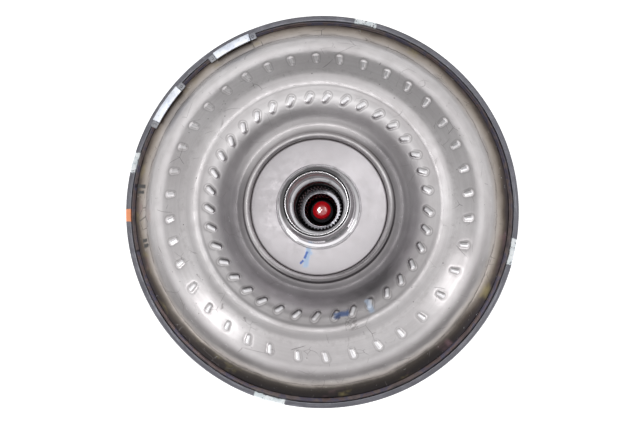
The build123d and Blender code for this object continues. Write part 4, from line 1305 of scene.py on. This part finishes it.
dress(shell, M_SHELL)
dress(cover, M_COVER)
dress(lugs, M_COVER)
dress(weld, M_WELD)
dress(pweld, M_WELD2)
dress(seams, M_WELD2)
dress(hweld, M_WELD2)
dress(hub, M_HUB)
dress(weights, M_WEIGHT)
dress(pilot, M_TURN)
dress(wr, M_WIRE)
dress(fluid, M_FLUID)
dress(springs, M_SPRING)
by_node = {}
for names, mat in (
        (("turbine_shell", "impeller_core_ring", "turbine_core_ring", "lockup_piston",
          "damper_front_plate", "damper_rear_plate", "damper_driven_plate"), M_PRESS),
        (("impeller_blades", "turbine_blades", "hub_rivets", "damper_rivets"), M_BLADE),
        (("stator_outer_race",), M_TURN),
        (("turbine_hub",), M_TURBINE_HUB),
        (("stator_inner_race",), M_DARKHARD),
        (("clutch_rollers", "front_bearing_cage", "front_bearing_rollers", "middle_bearing_cage",
          "middle_bearing_rollers", "rear_bearing_cage", "rear_bearing_rollers",
          "front_bearing_cover_race", "front_bearing_hub_race", "middle_bearing_turbine_race",
          "middle_bearing_stator_race", "rear_bearing_stator_race", "rear_bearing_hub_race"), M_HARD),
        (("clutch_roller_springs",), M_SPRING),
        (("stator_wheel",), M_CAST),
        (("stator_front_cap", "stator_rear_cap"), M_CAP),
        (("friction_facing",), M_PAPER),
        (("piston_inner_seal",), M_SEAL)):
    for n in names:
        by_node[n] = mat
for n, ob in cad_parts.items():
    if n in by_node:
        dress(ob, by_node[n])

# =====================================================================
# stage, lights, camera
# =====================================================================
floor_me = bpy.data.meshes.new("floor")
g = 24
side = 3.0
fv = [((i / g - 0.5) * 2 * side, (j / g - 0.5) * 2 * side, 0.0) for i in range(g + 1) for j in range(g + 1)]
ffc = [(i * (g + 1) + j, (i + 1) * (g + 1) + j, (i + 1) * (g + 1) + j + 1, i * (g + 1) + j + 1)
       for i in range(g) for j in range(g)]
floor_me.from_pydata(fv, [], ffc)
floor = bpy.data.objects.new("floor", floor_me)
scene.collection.objects.link(floor)
fm = bpy.data.materials.new("pale_floor")
fm.use_nodes = True
fb = fm.node_tree.nodes["Principled BSDF"]
fb.inputs["Base Color"].default_value = (0.9, 0.9, 0.9, 1)
fb.inputs["Roughness"].default_value = 0.85
fb.inputs["Specular IOR Level"].default_value = 0.1
fb.inputs["Emission Color"].default_value = (1, 1, 1, 1)
fb.inputs["Emission Strength"].default_value = 0.60
floor.data.materials.append(fm)

world = bpy.data.worlds.new("studio")
scene.world = world
world.use_nodes = True
wt = world.node_tree
wt.nodes.clear()
wo = wt.nodes.new("ShaderNodeOutputWorld")
bg = wt.nodes.new("ShaderNodeBackground")
wt.links.new(bg.outputs[0], wo.inputs[0])
tc = wt.nodes.new("ShaderNodeTexCoord")
sp = wt.nodes.new("ShaderNodeSeparateXYZ")
wt.links.new(tc.outputs["Generated"], sp.inputs[0])


def wmath(op, a, b=0.0, clamp=False):
    n = wt.nodes.new("ShaderNodeMath")
    n.operation = op
    n.use_clamp = clamp
    for v, q in ((a, n.inputs[0]), (b, n.inputs[1])):
        if isinstance(v, (int, float)):
            q.default_value = v
        else:
            wt.links.new(v, q)
    return n.outputs[0]


# brightness by height, with the lower part of the tent dim on the upper-left side
rp = wt.nodes.new("ShaderNodeValToRGB")
wt.links.new(sp.outputs["Z"], rp.inputs[0])
e = rp.color_ramp.elements
WORLD_Z = ((0.0, 0.62), (0.12, 0.66), (0.30, 0.76), (0.48, 0.90), (0.66, 1.0), (0.84, 1.02), (1.0, 0.80))
e[0].position, e[0].color = WORLD_Z[0][0], (WORLD_Z[0][1],) * 3 + (1,)
e[1].position, e[1].color = WORLD_Z[-1][0], (WORLD_Z[-1][1],) * 3 + (1,)
for pos, v in WORLD_Z[1:-1]:
    k = e.new(pos)
    k.color = (v, v, v, 1)
def lean(deg):
    d = math.radians(deg)
    return wmath("ADD", wmath("MULTIPLY", sp.outputs["X"], math.cos(d)),
                 wmath("MULTIPLY", sp.outputs["Y"], math.sin(d)))


high = wmath("MULTIPLY", lean(42), 0.55)
low = wmath("MULTIPLY", lean(258), 0.52)
wt_hi = wmath("MULTIPLY", wmath("SUBTRACT", sp.outputs["Z"], 0.70), 5.0, clamp=True)
mixed = wmath("ADD", wmath("MULTIPLY", high, wt_hi),
              wmath("MULTIPLY", low, wmath("SUBTRACT", 1.0, wt_hi)))
gain = wmath("ADD", 1.02, mixed)
bg.inputs["Color"].default_value = (1, 1, 1, 1)
sep = wt.nodes.new("ShaderNodeSeparateColor")
wt.links.new(rp.outputs[0], sep.inputs[0])
wt.links.new(wmath("MULTIPLY", sep.outputs[0], gain), bg.inputs["Strength"])


def area(name, loc, target, size, power, size_y=None, color=(1, 1, 1)):
    li = bpy.data.lights.new(name, "AREA")
    li.shape = "RECTANGLE"
    li.size = size
    li.size_y = size_y or size
    li.energy = power
    li.color = color
    ob = bpy.data.objects.new(name, li)
    ob.location = loc
    ob.rotation_euler = (Vector(target) - Vector(loc)).to_track_quat("-Z", "Y").to_euler()
    scene.collection.objects.link(ob)
    return ob


def box_at(name, azimuth, elevation, distance, w, h, radiance):
    """Softbox round the object; radiance is what a mirror would show."""
    a, el = math.radians(azimuth), math.radians(elevation)
    loc = (distance * math.cos(el) * math.cos(a), distance * math.cos(el) * math.sin(a),
           0.06 + distance * math.sin(el))
    area(name, loc, (0, 0, 0.06), w, radiance * math.pi * w * h, h)


box_at("key_lower_left", 222, 14, 1.5, 0.55, 0.50, 3.1)
box_at("fill_lower_right", 332, 14, 1.5, 0.55, 0.46, 2.9)
box_at("overhead_right", 35, 76, 2.0, 0.36, 0.36, 2.4)
box_at("overhead_left", 150, 83, 2.0, 0.20, 0.20, 11.0)

cam_data = bpy.data.cameras.new("camera")
cam = bpy.data.objects.new("camera", cam_data)
scene.collection.objects.link(cam)
scene.camera = cam
cam_data.sensor_width = 36.0
cam_data.lens = 77.7
cam_data.clip_start = 0.01
cam_data.clip_end = 20.0
tilt, az, dist = math.radians(4.4), math.radians(304.0), 0.930
target = Vector((-0.00081, -0.00216, 0.062))
eye = Vector((0, 0, 0.062)) + dist * Vector((math.sin(tilt) * math.cos(az), math.sin(tilt) * math.sin(az),
                                             math.cos(tilt)))
fwd = (target - eye).normalized()
right = fwd.cross(Vector((0, 1, 0))).normalized()
up = right.cross(fwd).normalized()
from mathutils import Matrix
rot = Matrix((right, up, -fwd)).transposed()
cam.matrix_world = Matrix.Translation(eye) @ rot.to_4x4()
